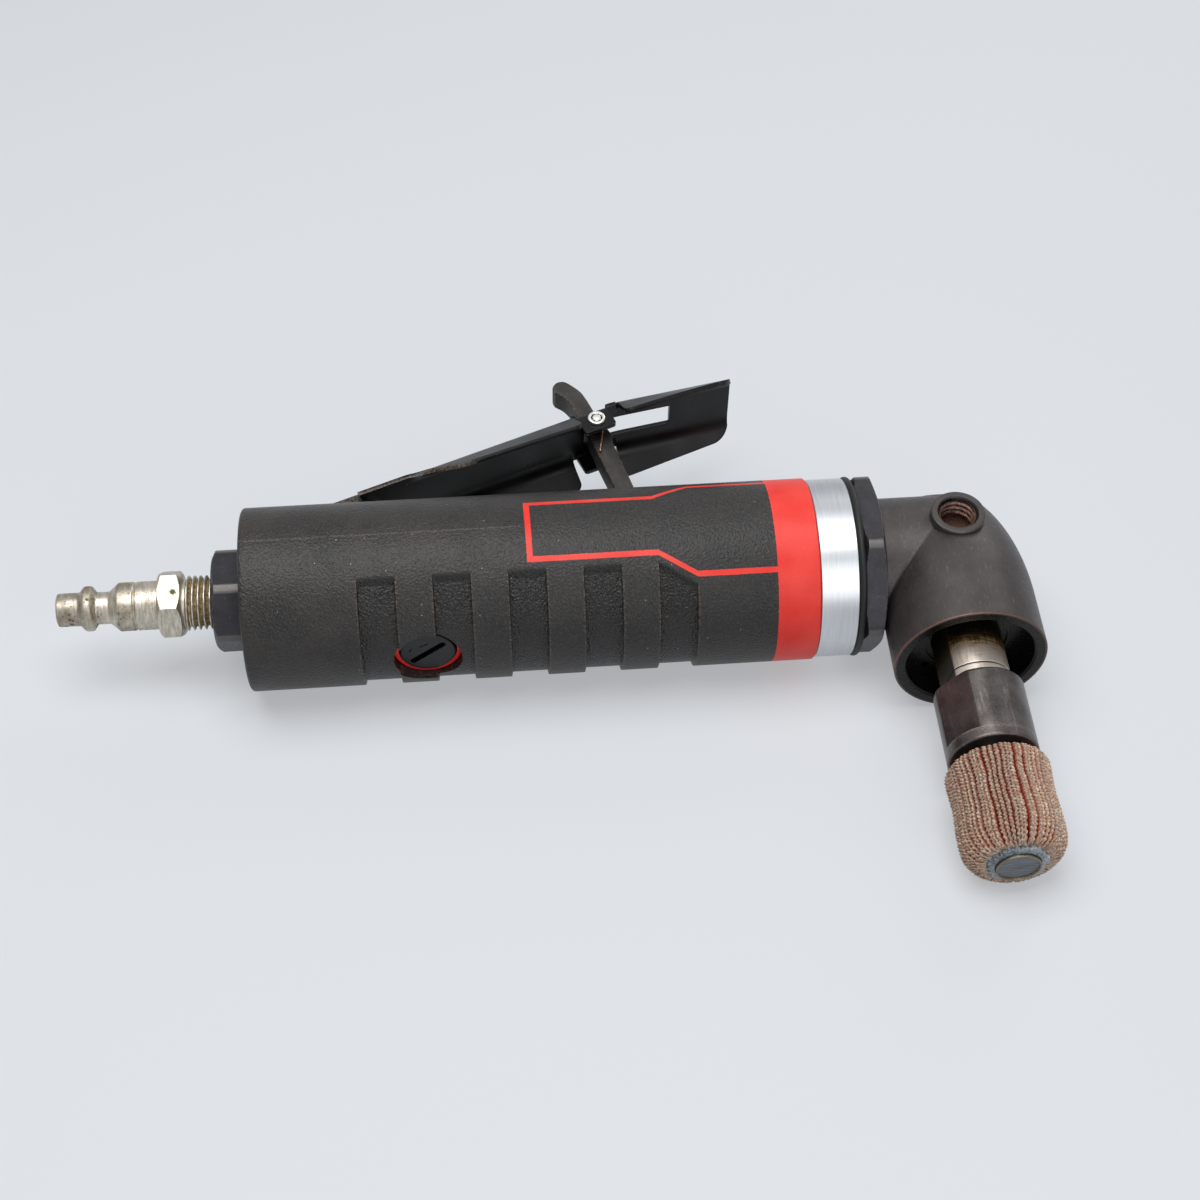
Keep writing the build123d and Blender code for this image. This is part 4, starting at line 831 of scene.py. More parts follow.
def buildClampNut():
    p = clampNut
    low, high = toolBox("clamp_nut")
    rear, front, face = low[0], high[0], p["hexSize"] / 2
    line = filled(softened([
        (rear, p["throat"]), (rear, face + 0.6), (rear + 0.7, p["blunt"], 0.2),
        (front - 1.0, p["blunt"], 0.3), (front, face - 0.5, 0.25), (front, p["throat"], 0.3),
        (rear, p["throat"]),
    ]), 0.3)
    piece = newObject("clampNut", [hexTurned(line, p["hexSize"], p["hexTurn"], 216)])
    bareCorners(piece, p["blunt"])
    settle(piece, "housing", "black_oxide_steel", "clamp_nut", finish=hexOxide)


def buildHeadSeal():
    low, high = toolBox("head_seal")
    middle, half, outer = (low[0] + high[0]) / 2, (high[0] - low[0]) / 2, high[2]
    turns = np.linspace(0, fullTurn, 25)
    ring = np.stack([middle + half * np.cos(turns), outer - half + half * np.sin(turns)], -1)
    settle(newObject("headSeal", [lathe(ring, "x", 144)]), "housing", "nitrile_rubber", "head_seal")


# Angle head: a domed forging over a round neck, blended where they meet

head = {"radius": 18.6, "mouth": -31.1, "domeBase": -16.0, "domeTop": 20.0, "neck": 16.4, "neckRear": -21.0,
        "mouthBore": 15.5, "boreFloor": -21.5, "rimWidth": 1.6, "portRadius": 6.65, "portTop": 18.84,
        "portHole": 5.9, "portDepth": 7.2, "portMouth": 5.08, "voxel": 0.4, "smoothing": 4,
        "threadPitch": 1.5875, "threadMinor": 4.05, "threadMajor": 4.8}


def buildHead():
    p = head
    radius, mouth, bore, major = p["radius"], p["mouth"], p["mouthBore"], p["threadMajor"]
    height = p["domeTop"] - p["domeBase"]
    rising = np.linspace(0, math.pi / 2, 40)
    arc = [(p["domeBase"] + height * math.sin(a), radius * math.cos(a)) for a in rising]
    dome = softened([(mouth, 0), (mouth, radius, 0.7), (p["domeBase"], radius)])
    dome, domeFaces = lathe(filled(np.concatenate([dome, np.array(arc)]), 1.0), "y", 144)
    limit = radius * math.sqrt(1 - (p["domeBase"] / height) ** 2)
    reach = np.hypot(dome[:, 1], dome[:, 2])
    squeeze = np.where(dome[:, 1] > 0, np.minimum(1, limit / np.maximum(reach, 1e-6)), 1)
    dome[:, 1:] *= squeeze[:, None]
    neck = np.array([(p["neckRear"], 0), (p["neckRear"], p["neck"]), (0, p["neck"]), (0, 0)])
    piece = newObject("angleHead", [(dome, domeFaces), lathe(filled(neck, 1.0), "x", 144)])
    remesh = piece.modifiers.new("blend", "REMESH")
    remesh.mode, remesh.voxel_size = "VOXEL", p["voxel"]
    soften = piece.modifiers.new("soften", "SMOOTH")
    soften.factor, soften.iterations = 0.5, p["smoothing"]
    bake(piece)
    lip = softened([
        (mouth - 1, 0), (mouth - 1, bore + 1.2), (mouth + 0.5, bore, 0.6), (p["boreFloor"], bore),
        (p["boreFloor"], 0),
    ])
    top, floor, hole = p["portTop"], p["portTop"] - p["portDepth"], p["portHole"]
    port = np.array([(top + 4, 0), (top + 4, hole), (floor - 0.3, hole), (floor - 0.3, 0)])
    rimBack = mouth + p["rimWidth"]
    end = np.array([(mouth - 1, 0), (mouth - 1, 2 * radius), (rimBack, 2 * radius), (rimBack, 0)])
    cutAway(piece, lathe(lip, "y", 144), lathe(port, "z", 72), lathe(end, "y", 144))
    # grease and painted shade inside the mouth, no rubbed edges on the dome
    at = meshPoints(piece.data)
    deep = (np.hypot(at[:, 0], at[:, 2]) < bore + 0.15) & (at[:, 1] < p["boreFloor"] + 0.5)
    for polygon in piece.data.polygons:
        polygon.material_index = int(all(deep[v] for v in polygon.vertices))
    settle(piece, "housing", "black_oxide_steel", "angle_head", finish=[headOxide, greaseAndShadeOxide], sharp=38,
           rub=lambda at, edges: 0 * edges)
    # turned ring of the mouth, rubbed along its outer edge, its face in the dark greased finish as painted
    # shade
    seam, rimBack = radius - 0.6, rimBack + 0.1
    outside = softened([(rimBack, seam), (rimBack, radius), (mouth, radius, 0.45), (mouth, seam)])
    face = softened([
        (mouth, seam), (mouth, bore + 0.5, 0.15), (mouth + 0.5, bore, 0.15), (rimBack, bore), (rimBack, seam),
    ])
    rim = newObject("mouthRim", [
        lathe(filled(outside, 0.3), "y", 216), (*lathe(filled(face, 0.4), "y", 216), 1),
    ])
    settle(rim, "housing", "black_oxide_steel", finish=[headOxide, greaseAndShadeOxide],
           rub=lambda at, edges: edges * 4 * (at[:, 1] < mouth + 0.8) * (np.hypot(at[:, 0], at[:, 2]) > seam))
    # boss of the handle port with its cut thread
    threadTop = top - 0.5
    boss = softened([
        (floor - 0.2, 0), (floor - 0.2, p["portRadius"]), (top, p["portRadius"], 0.5),
        (top, p["portMouth"], 0.12), (threadTop, major),
    ])
    line = filled(np.array([(floor, major), (threadTop, major)]), 0.12)

    def ridges(along, radius, turn):
        phase = ((along - floor) / p["threadPitch"] - turn / fullTurn) % 1
        tooth = np.clip(1.4 * np.abs(2 * phase - 1) - 0.2, 0, 1)
        cut = smoothStep((threadTop - along) / 0.7) * smoothStep((along - floor - 0.9) / 0.6)
        return major - (major - p["threadMinor"]) * tooth * cut

    drilled = np.array([(floor - 0.1, 0), (floor, major)])
    thread = newObject("portBoss", [
        lathe(boss, "z", 72), (*lathe(line, "z", 72, 0, ridges), 1), (*lathe(drilled, "z", 72), 1),
    ])
    at = meshPoints(thread.data)
    reach = np.hypot(at[:, 0], at[:, 1])
    for polygon in thread.data.polygons:
        corners = list(polygon.vertices)
        rooted = np.mean(at[corners, 2]) > floor + 0.9 and np.mean(reach[corners]) > major - 0.3
        # painted shade: the thread roots take the dark greased finish
        if polygon.material_index == 1 and rooted:
            polygon.material_index = 2  # dark roots
    settle(thread, "housing", "black_oxide_steel", finish=[headOxide, portSteel, greaseAndShadeOxide],
           rub=lambda at, edges: edges * np.where(np.hypot(at[:, 0], at[:, 1]) > major, 0.6, 1))


# Spindle nose with wrench flats, collet nut, and what they hold

spindle = {"noseRadius": 8.5, "flatHalf": 7.15, "flatTurn": 12.0, "flatFrom": -40.3, "flatTo": -22.0,
           "groove": -37.7, "journal": 2.98, "journalFoot": 6.8, "shaft": 4.0, "shaftFoot": 4.5,
           "shoulder": -21.5, "thread": 7.4, "taper": 5.7, "throat": 4.5, "bore": 3.3}
colletNut = {"rear": -40.6, "front": -60.1, "radius": 10.85, "flatHalf": 9.5, "flatTurn": 38.5, "collar": 3.2,
             "mouth": 4.7, "thread": 7.45, "taper": 5.7}


def buildSpindle():
    p = spindle
    nose, groove, top = p["noseRadius"], p["groove"], toolBox("spindle")[1][1]
    journal, foot, shoulder, thread = p["journal"], p["journalFoot"], p["shoulder"], p["thread"]
    rear, front = colletNut["rear"], colletNut["front"]
    line = filled(softened([
        (top, 0), (top, journal, 0.3), (foot, journal), (foot, p["shaft"]), (shoulder, p["shaftFoot"]),
        (shoulder, nose, 0.2), (groove + 0.2, nose, 0.05), (groove + 0.12, nose - 0.25, 0.05),
        (groove - 0.12, nose - 0.25, 0.05), (groove - 0.2, nose, 0.05), (rear + 0.02, nose),
        (rear + 0.02, thread), (front + 6.6, thread), (front + 6.6, p["taper"]), (front + 13.2, p["throat"]),
        (front + 13.2, p["bore"]), (rear + 5.0, p["bore"]), (rear + 6.5, 0),
    ]), 0.35)
    flats = wrenchFlats(p["flatHalf"], p["flatTurn"], p["flatFrom"], p["flatTo"])
    piece = newObject("spindleNose", [lathe(line, "y", 144, 0, flats)])
    # the wrench flats are marked to be painted darker, as shade
    at = meshPoints(piece.data)
    facing = np.abs(np.cos(np.arctan2(at[:, 2], at[:, 0]) + math.radians(p["flatTurn"])))
    cut = (at[:, 1] > p["flatFrom"] - 0.2) & (at[:, 1] < p["flatTo"] + 0.6) & (facing > p["flatHalf"] / nose)
    setAttribute(piece.data, "flat", cut * 0.85)
    settle(piece, "spindle", "ground_steel", "spindle", finish=spindleSteel)


def buildColletNut():
    p = colletNut
    rear, front, radius, mouth = p["rear"], p["front"], p["radius"], p["mouth"]
    thread, taper = p["thread"], p["taper"]
    line = filled(softened([
        (rear, thread), (rear, radius, 0.8), (front, radius, 0.6), (front, mouth, 0.3),
        (front + 0.9, mouth, 0.2), (front + 3.3, taper), (front + 6.4, taper), (front + 6.4, thread),
        (rear, thread),
    ]), 0.35)
    step = front + p["collar"]
    flats = wrenchFlats(p["flatHalf"], p["flatTurn"], step, rear + 1)
    piece = newObject("colletNut", [lathe(line, "y", 180, 0, flats)])
    settle(piece, "spindle", "black_oxide_steel", "collet_nut", finish=nutOxide, sharp=20,
           rub=lambda at, edges: np.maximum(edges, 0.5 * np.exp(-((at[:, 1] - step + 0.5) / 0.9) ** 2)))


wheel = {"flaps": 64, "outer": 12.3, "inner": 6.9, "thickness": 0.78, "jitter": 0.028, "rootShare": 0.5,
         "lean": 0.3, "wave": 1.3, "waveSize": 7.5, "knots": 0.22, "knotSize": 0.9, "roundEdge": 0.3,
         "frontShoulder": 6.0, "frontDrop": 3.0, "rearShoulder": 1.7, "rearDrop": 0.8, "swell": 0.2,
         "seed": 4, "drum": 11.0, "core": 5.2, "coreFace": 4.75, "coreSunk": 0.4, "shank": 3.15, "bead": 7.1}
flapInputs = {
    "Int": ("flaps", "seed"),
    "Float": ("jitter", "length", "middle", "inner", "outer", "thickness", "rootShare", "lean", "wave",
              "waveSize", "knots", "knotSize", "roundEdge", "front", "rear", "frontShoulder", "frontDrop",
              "rearShoulder", "rearDrop", "swell"),
    "Material": ("finish",),
}


def flapTree():
    tree = bpy.data.node_groups.new("wornFlaps", "GeometryNodeTree")
    for kind, names in flapInputs.items():
        for name in names:
            tree.interface.new_socket(name=name, in_out="INPUT", socket_type="NodeSocket" + kind)
    tree.interface.new_socket(name="Geometry", in_out="OUTPUT", socket_type="NodeSocketGeometry")
    made = {socket.name: socket for socket in addNode(tree, "NodeGroupInput").outputs}
    place, index = addNode(tree, "GeometryNodeInputPosition"), addNode(tree, "GeometryNodeInputIndex")
    x, y, z = addNode(tree, split, {0: place}).outputs
    tone, across = (
        addNode(tree, "GeometryNodeInputNamedAttribute", {"Name": name}, data_type="FLOAT")
        for name in ("tone", "across")
    )
    store = "GeometryNodeStoreNamedAttribute"
    # one flap, standing out from the axis, with its width kept as -1 to 1
    workOut(tree, made, [
        ("deep", "SUBTRACT", "outer", "inner"),
        ("box", combine, "thickness", "length", "deep"),
        ("halfWidth", "MULTIPLY", "thickness", 0.5),
        ("width", "DIVIDE", x, "halfWidth"),
        ("seat", "ADD", "outer", "inner", "MULTIPLY", 0.5),
        ("seat", combine, None, "middle", "seat"),
        ("pitch", "DIVIDE", fullTurn, "flaps"),
        ("turn", "MULTIPLY", index, "pitch"),
        ("lag", "MULTIPLY", "jitter", -1.0),
    ])
    flap = addNode(tree, "GeometryNodeMeshCube", {
        "Size": made["box"], "Vertices X": 3, "Vertices Y": 124, "Vertices Z": 4,
    })
    flap = addNode(tree, store, {"Geometry": flap, "Name": "across", "Value": made["width"]})
    flap = addNode(tree, "GeometryNodeTransform", {"Geometry": flap, "Translation": made["seat"]})
    points = addNode(tree, "GeometryNodePoints", {"Count": made["flaps"]})
    stray, shade = (
        addNode(tree, "FunctionNodeRandomValue", {2: least, 3: most, "Seed": made["seed"]}, data_type="FLOAT")
        for least, most in ((made["lag"], made["jitter"]), (0.0, 1.0))
    )
    workOut(tree, made, [("turn", "ADD", "turn", stray), ("spin", combine, None, "turn")])
    ring = addNode(tree, "GeometryNodeInstanceOnPoints", {
        "Points": points, "Instance": flap, "Rotation": made["spin"],
    })
    ring = addNode(tree, store, {"Geometry": ring, "Name": "tone", "Value": shade}, domain="INSTANCE")
    wheelMesh = addNode(tree, "GeometryNodeRealizeInstances", {"Geometry": ring})
    flat = addNode(tree, combine, {0: x, 2: z})
    radius = addNode(tree, vectorMath, {0: flat}, operation="LENGTH")
    out = addNode(tree, vectorMath, {0: flat}, operation="NORMALIZE")
    side = addNode(tree, vectorMath, {0: out, 1: (0, 1, 0)}, operation="CROSS_PRODUCT")
    workOut(tree, made, [
        # how far a point lies out from the root, and in from the worn edges
        ("share", mapRange, radius, "inner", "outer"),
        ("inward", "SUBTRACT", 1.0, "share"),
        ("depth", "SUBTRACT", y, "front", "MULTIPLY", 0.25),
        ("depth", "MINIMUM", "inward", "depth"),
        # sideways: lean, long waves, short knots along the frayed edge, and a thinner root
        ("waveScale", "DIVIDE", 1.0, "waveSize"),
        ("sway", noise, place, None, "waveScale", 2.0, "SUBTRACT", 0.5, "MULTIPLY", "wave", "ADD", "lean"),
        ("twist", "DIVIDE", fullTurn, "knotSize"),
        ("twist", "MULTIPLY", y, "twist"),
        ("own", "MULTIPLY", tone, 40.0),
        ("twist", "ADD", "twist", "own"),
        ("drift", noise, place, None, 0.9, 1.5, "MULTIPLY", 9.0),
        ("twist", "ADD", "twist", "drift"),
        ("knot", "SINE", "twist", "MULTIPLY", "knots"),
        ("sway", "ADD", "sway", "knot", "MULTIPLY", "share"),
        ("thin", "MULTIPLY", "inward", "rootShare", "MULTIPLY", "halfWidth", "MULTIPLY", across),
        ("sway", "SUBTRACT", "sway", "thin"),
        # outward: knots, a rounded edge, a slight swell of the whole wheel and the worn shoulders
        ("bead", "COSINE", "twist"),
        ("rise", "MULTIPLY", "bead", "knots"),
        ("crown", "MULTIPLY", across, across, "MULTIPLY", "roundEdge"),
        ("rise", "SUBTRACT", "rise", "crown"),
        ("full", mapRange, y, "front", "rear", -1.12, 7.86, "SINE", "SUBTRACT", 1.0, "MULTIPLY", "swell"),
        ("rise", "ADD", "rise", "full"),
    ])
    for end, sign, power in (("front", 1.0, 3.3), ("rear", -1.0, 2.2)):
        workOut(tree, made, [
            ("drop", "SUBTRACT", y, end, "MULTIPLY", sign, mapRange, 0.0, end + "Shoulder", 1.0, 0.0,
             "POWER", power, "MULTIPLY", end + "Drop"),
            ("rise", "SUBTRACT", "rise", "drop"),
        ])
    workOut(tree, made, [("rise", "MULTIPLY", "rise", "share")])
    push = addNode(tree, vectorMath, {0: out, "Scale": made["rise"]}, operation="SCALE")
    slide = addNode(tree, vectorMath, {0: side, "Scale": made["sway"]}, operation="SCALE")
    move = addNode(tree, vectorMath, {0: push, 1: slide}, operation="ADD")
    for name in ("depth", "bead"):
        wheelMesh = addNode(tree, store, {"Geometry": wheelMesh, "Name": name, "Value": made[name]})
    wheelMesh = addNode(tree, "GeometryNodeSetPosition", {"Geometry": wheelMesh, "Offset": move})
    wheelMesh = addNode(tree, "GeometryNodeSetMaterial", {"Geometry": wheelMesh, "Material": made["finish"]})
    addNode(tree, "NodeGroupOutput", {"Geometry": wheelMesh})
    return tree


def buildWheel():
    p = wheel
    low, high = toolBox("wheel_flaps")
    front, rear = low[1], high[1]
    values = {**p, "length": rear - front, "middle": (rear + front) / 2, "front": front, "rear": rear,
              "finish": finishes["abrasive_cloth"]}
    piece = linked("wheelFlaps", bpy.data.meshes.new("wheelFlaps"))
    step = piece.modifiers.new("flaps", "NODES")
    step.node_group = flapTree()
    for item in step.node_group.interface.items_tree:
        if item.in_out == "INPUT":
            step[item.identifier] = values[item.name]
    bake(piece)
    settle(piece, "spindle", "abrasive_cloth", "wheel_flaps", sharp=50)
    core, drum = p["core"], p["drum"]
    drumLine = softened([
        (rear - 0.6, core), (rear - 0.6, drum - 0.8, 0.8), (rear - 2.4, drum, 1.0), (front + 5.5, drum, 3.0),
        (front + 1.4, drum - 2.8, 1.5), (front + 1.0, core), (rear - 0.6, core),
    ])
    roots = newObject("flapRoots", [lathe(drumLine, "y", 96)])
    # painted shade: the drum under the flaps takes the dark deep end of the red faces
    setAttribute(roots.data, "depth", np.full(len(roots.data.vertices), 0.5))
    settle(roots, "spindle", "abrasive_cloth")
    # metal core with its turned end face, and the bead of resin round it
    low, high = toolBox("wheel_core")
    end, top, shank, face = low[1], high[1], p["shank"], p["coreFace"]
    sunk = end + p["coreSunk"]
    coreLine = softened([
        (top, 0), (top, shank, 0.4), (rear + 1.6, shank), (rear + 1.6, core, 0.3), (sunk, core),
    ])
    rimLine = softened([(sunk, core), (end, core, 0.2), (end, face + 0.1, 0.12), (sunk, face)])
    faceLine = np.array([(sunk, face), (sunk, 0)])
    boss = newObject("wheelCore", [
        lathe(filled(coreLine, 0.8), "y", 96), (*lathe(rimLine, "y", 96), 1),
        lathe(filled(faceLine, 0.5), "y", 96),
    ])
    settle(boss, "spindle", "zinc_plated_steel", "wheel_core", finish=[coreSteel, rimSteel])
    low, high = toolBox("wheel_end_ring")
    end, back = low[1], high[1] + 0.4
    ringLine = filled(softened([
        (back, core), (end, core + 0.1, 0.2), (end + 0.15, p["bead"] - 0.4, 0.4), (back, p["bead"], 0.3),
        (back, core),
    ]), 0.25)

    def lumpy(along, radius, turn):
        swell = 0.26 * np.sin(7 * turn + along) + 0.2 * np.sin(23 * turn - 3 * along)
        swell = swell + 0.16 * np.sin(41 * turn)
        return radius + swell * smoothStep((radius - core) / 1.2)

    ring = newObject("wheelEndRing", [lathe(ringLine, "y", 180, 0, lumpy)])
    settle(ring, "spindle", "resin_bond", "wheel_end_ring")


# Regulator dial and its red ring

dial = {"radius": 6.75, "face": -19.3, "floor": -17.2, "drum": 4.0,
        # slot for a screwdriver and two small marks: middle, turn, reach, half width, depth
        "cuts": [(0, 0, 39.0, 4.6, 0.85, 1.2), (-0.9, 2.9, 30.0, 1.1, 0.16, 0.25),
                 (-4.2, 1.3, 62.0, 0.55, 0.16, 0.25)],
        "ringIn": 7.05, "ringOut": 8.2, "ringTop": -18.5, "ringFoot": -16.85}


def buildRegulator():
    p = dial
    centre = np.array((grip["recessX"], 0, 0))
    radius, face, floor, drum = p["radius"], p["face"], p["floor"], p["drum"]
    top = toolBox("regulator_dial")[1][1]
    line = softened([
        (face, 0), (face, radius, 0.45), (floor, radius, 0.2), (floor, drum, 0.2), (top, drum, 0.3), (top, 0),
    ])
    piece = newObject("regulatorDial", [moved(lathe(filled(line, 1.0), "y", 96), centre)])
    for x, z, degrees, reach, half, deep in p["cuts"]:
        c, s = math.cos(math.radians(degrees)), math.sin(math.radians(degrees))
        outline = np.array([
            (side * (reach + half * math.cos(t)), side * half * math.sin(t))
            for side in (1, -1) for t in np.linspace(-math.pi / 2, math.pi / 2, 9)
        ]) @ np.array(((c, s), (-s, c))) + np.array((x, z))
        cutAway(piece, moved(prism(outline, face - 1, face + deep, 1), centre))
    # dirt and painted shade in the slot and the marks
    at = meshPoints(piece.data)
    sunk = (at[:, 1] > face + 0.15) & (np.hypot(at[:, 0] - centre[0], at[:, 2]) < radius - 0.6)
    level = at[:, 1] < face + 0.01
    for polygon in piece.data.polygons:
        corners = list(polygon.vertices)
        polygon.material_index = int(np.all(sunk[corners] | level[corners]) and np.any(sunk[corners]))
    settle(piece, "regulator", "black_nylon", "regulator_dial", finish=[finishes["black_nylon"], greaseAndShadeOxide])
    inside, outside, crown, foot = p["ringIn"], p["ringOut"], p["ringTop"], p["ringFoot"]
    ringLine = softened([
        (crown, inside), (crown, outside, 0.3), (foot, outside), (foot, inside), (crown, inside),
    ])
    ring = newObject("regulatorRing", [moved(lathe(ringLine, "y", 96), centre)])
    settle(ring, "housing", "red_acetal", "regulator_ring")


# Throttle lever, folded from one sheet

lever = {"slope": 21.7, "frontSlope": 11.6, "knee": -79.8, "kneeRun": 6.0, "rearY": 22.95, "sheet": 1.2,
         "half": 8.0, "window": (-87.8, -64.6, 3.35), "edge": 0.3,
         # folded zones: both ends, depth at each, splay at each, bend radii near and far, corner at each
         "zones": [(-153.8, -146.0, 7.9, 7.9, 0, 0, 1.4, 1.4, 3.5, 3.5),
                   (-134.0, -91.0, 6.2, 9.2, 36, 32, 4.6, 6.5, 0.0, 2.2),
                   (-89.9, -81.7, 7.1, 7.1, 0, 0, 2.0, 2.0, 0.9, 0.9),
                   (-79.0, -48.6, 9.4, 5.3, 30, 49, 4.6, 7.4, 2.2, 4.6)],
         "rampZone": 1, "rampRun": 12.0, "foldSteps": 26,
         # rubbed most along the near cut edge by the hinge, and on the hinge ears
         "bareEdge": (-146.5, -112.0), "rubShare": 0.42, "earRub": 0.6}


def leverLine(x):
    p = lever
    low, high = toolBox("throttle_lever")
    track = np.linspace(low[0] - 5, high[0] + 5, 2400)
    blend = smoothStep((track - p["knee"]) / p["kneeRun"] + 0.5)
    slope = np.tan(np.radians(p["slope"])) * (1 - blend) + np.tan(np.radians(p["frontSlope"])) * blend
    rise = np.concatenate([[0], np.cumsum((slope[1:] + slope[:-1]) / 2 * np.diff(track))])
    rise += p["rearY"] - np.interp(p["zones"][0][0], track, rise)
    return np.interp(x, track, rise), np.arctan(np.interp(x, track, slope))


def buildLever():
    p = lever
    zones, steps = p["zones"], p["foldSteps"]
    rear, front = zones[0][0], zones[-1][1]
    windowFrom, windowTo, windowHalf = p["window"]
    stations = list(np.arange(rear, front, 1.0)) + [windowFrom, windowTo, front]
    for zone in zones:
        for end, inward, corner in ((zone[0], 1, zone[8]), (zone[1], -1, zone[9])):
            stations += [end + inward * corner * (1 - math.cos(k * math.pi / 16)) for k in range(9)]
    stations = spread(stations, 0.02)
    top, slope = leverLine(stations)

    def sheetPoint(k, z, down):
        return (stations[k] + down * math.sin(slope[k]), top[k] - down * math.cos(slope[k]), z)

    def foldOf(zone, x, bend):
        t = (x - zone[0]) / (zone[1] - zone[0])
        turn = math.radians(90 - (zone[4] + (zone[5] - zone[4]) * t))
        cut = bend * math.tan(turn / 2)
        return turn, zone[2] + (zone[3] - zone[2]) * t - cut, p["half"] - cut

    bends, starts, across = {}, {}, {}
    for side in (1, -1):
        bends[side] = [zone[6 if side > 0 else 7] for zone in zones]
        starts[side] = [
            foldOf(zone, (zone[0] + zone[1]) / 2, bend)[2] for zone, bend in zip(zones, bends[side])
        ]
        flat = starts[side][p["rampZone"]]
        ramp = [flat + (p["half"] - flat) * s / steps for s in range(steps + 1)]
        across[side] = sorted({0.0, 1.1, 2.2, windowHalf, *starts[side], *ramp})
    points, faces = [], []
    # the flat top, as wide as the folds leave it
    for k in range(len(stations) - 1):
        x = (stations[k] + stations[k + 1]) / 2
        number = next((n for n, zone in enumerate(zones) if zone[0] < x < zone[1]), None)
        for side in (1, -1):
            limit = p["half"] if number is None else starts[side][number]
            for z0, z1 in zip(across[side], across[side][1:]):
                inWindow = windowFrom < x < windowTo and z1 <= windowHalf + 1e-6
                if inWindow or z1 > limit + 1e-6:
                    continue
                base = len(points)
                corners = ((k, z0), (k, z1), (k + 1, z1), (k + 1, z0))
                points += [sheetPoint(j, side * z, 0) for j, z in corners]
                faces.append(range(base, base + 4))
    for number, zone in enumerate(zones):
        inside = [k for k, x in enumerate(stations) if zone[0] - 1e-6 <= x <= zone[1] + 1e-6]
        for side in (1, -1):
            base = len(points)
            bend, start = bends[side][number], starts[side][number]
            for k in inside:
                x = stations[k]
                turn, run, _ = foldOf(zone, x, bend)
                full = bend * turn + run
                if number == p["rampZone"]:
                    # the fold grows out of the flat sheet
                    gone = (x - zone[0]) / p["rampRun"]
                    flat = p["half"] - start
                    turn *= float(smoothStep(gone * 1.3))
                    full = flat + (full - flat) * float(smoothStep(gone - 0.15))
                for d, corner in ((x - zone[0], zone[8]), (zone[1] - x, zone[9])):
                    if d < corner:
                        full -= corner - math.sqrt(max(corner ** 2 - (corner - d) ** 2, 0))
                for s in range(steps + 1):
                    far = full * s / steps
                    bent = min(far / bend, turn)
                    rest = max(far - bend * turn, 0.0)
                    z = start + bend * math.sin(bent) + rest * math.cos(turn)
                    down = bend * (1 - math.cos(bent)) + rest * math.sin(turn)
                    points.append(sheetPoint(k, side * z, down))
            faces += [base + face for face in gridFaces(len(inside), steps + 1)]
    piece = newObject("throttleLever", [(points, faces)])
    if piece.data.polygons[0].normal.y < 0:
        piece.data.flip_normals()
    thick = piece.modifiers.new("sheet", "SOLIDIFY")
    thick.thickness, thick.offset = p["sheet"], -1
    roundEdges(piece, p["edge"], 2, 50)

    def rubbed(at, edges):
        bareFrom, bareTo = p["bareEdge"]
        bare = (at[:, 2] > 0) * (at[:, 0] > bareFrom) * smoothStep((bareTo - at[:, 0]) / 12)
        # only the lower corner of the cut edge
        bare = bare * smoothStep(((leverLine(at[:, 0])[0] - at[:, 1]) / p["sheet"] - 0.35) / 0.4)
        ear = (np.abs(at[:, 2]) > p["half"] - 0.2) & (at[:, 0] < zones[0][1] + 0.3)
        return np.where(ear, p["earRub"], edges * (p["rubShare"] + (1 - p["rubShare"]) * bare))

    settle(piece, "lever", "black_lever_paint", "throttle_lever", sharp=45, wear=8.0, rub=rubbed)


# Lock lever, its rivet and its outline about the rivet

lock = {"half": 3.05, "edge": 0.4,
        "thumb": [(-9.85, 15.1), (-10.3, 16.75), (-9.4, 18.35), (-8.15, 18.9), (-6.7, 18.65), (-4.8, 16.95),
                  (-3.0, 14.85), (-1.75, 12.25), (-0.9, 9.95), (0, 7.35)],
        "front": [(2.1, 2.85, 3.0), (3.7, -0.15, 2.0), (4.1, -4.15, 3.0), (6.0, -11.45), (8.0, -19.1, 0.6),
                  (6.9, -20.3, 0.5)],
        "sole": [(3.8, -21.3, 0.6), (3.2, -19.45, 1.0)],
        "rear": [(0.3, -9.45), (-2.15, -0.55), (-2.8, 1.95), (-4.0, 4.65), (-4.75, 6.45), (-5.45, 8.95),
                 (-6.3, 11.2), (-7.75, 13.35)],
        "headRadius": 2.25, "headRise": 0.9, "shank": 1.2, "grooveRadius": 1.28}


def flowing(points, steps=5):
    # smooth line through given points, without the last one
    p = np.array(points, float)
    padded = np.concatenate([[2 * p[0] - p[1]], p, [2 * p[-1] - p[-2]]])
    line = []
    for a, b, c, d in zip(padded, padded[1:], padded[2:], padded[3:]):
        for t in np.arange(steps) / steps:
            square, cube = (2 * a - 5 * b + 4 * c - d) * t ** 2, (3 * b - a - 3 * c + d) * t ** 3
            line.append(0.5 * (2 * b + (c - a) * t + square + cube))
    return np.array(line)


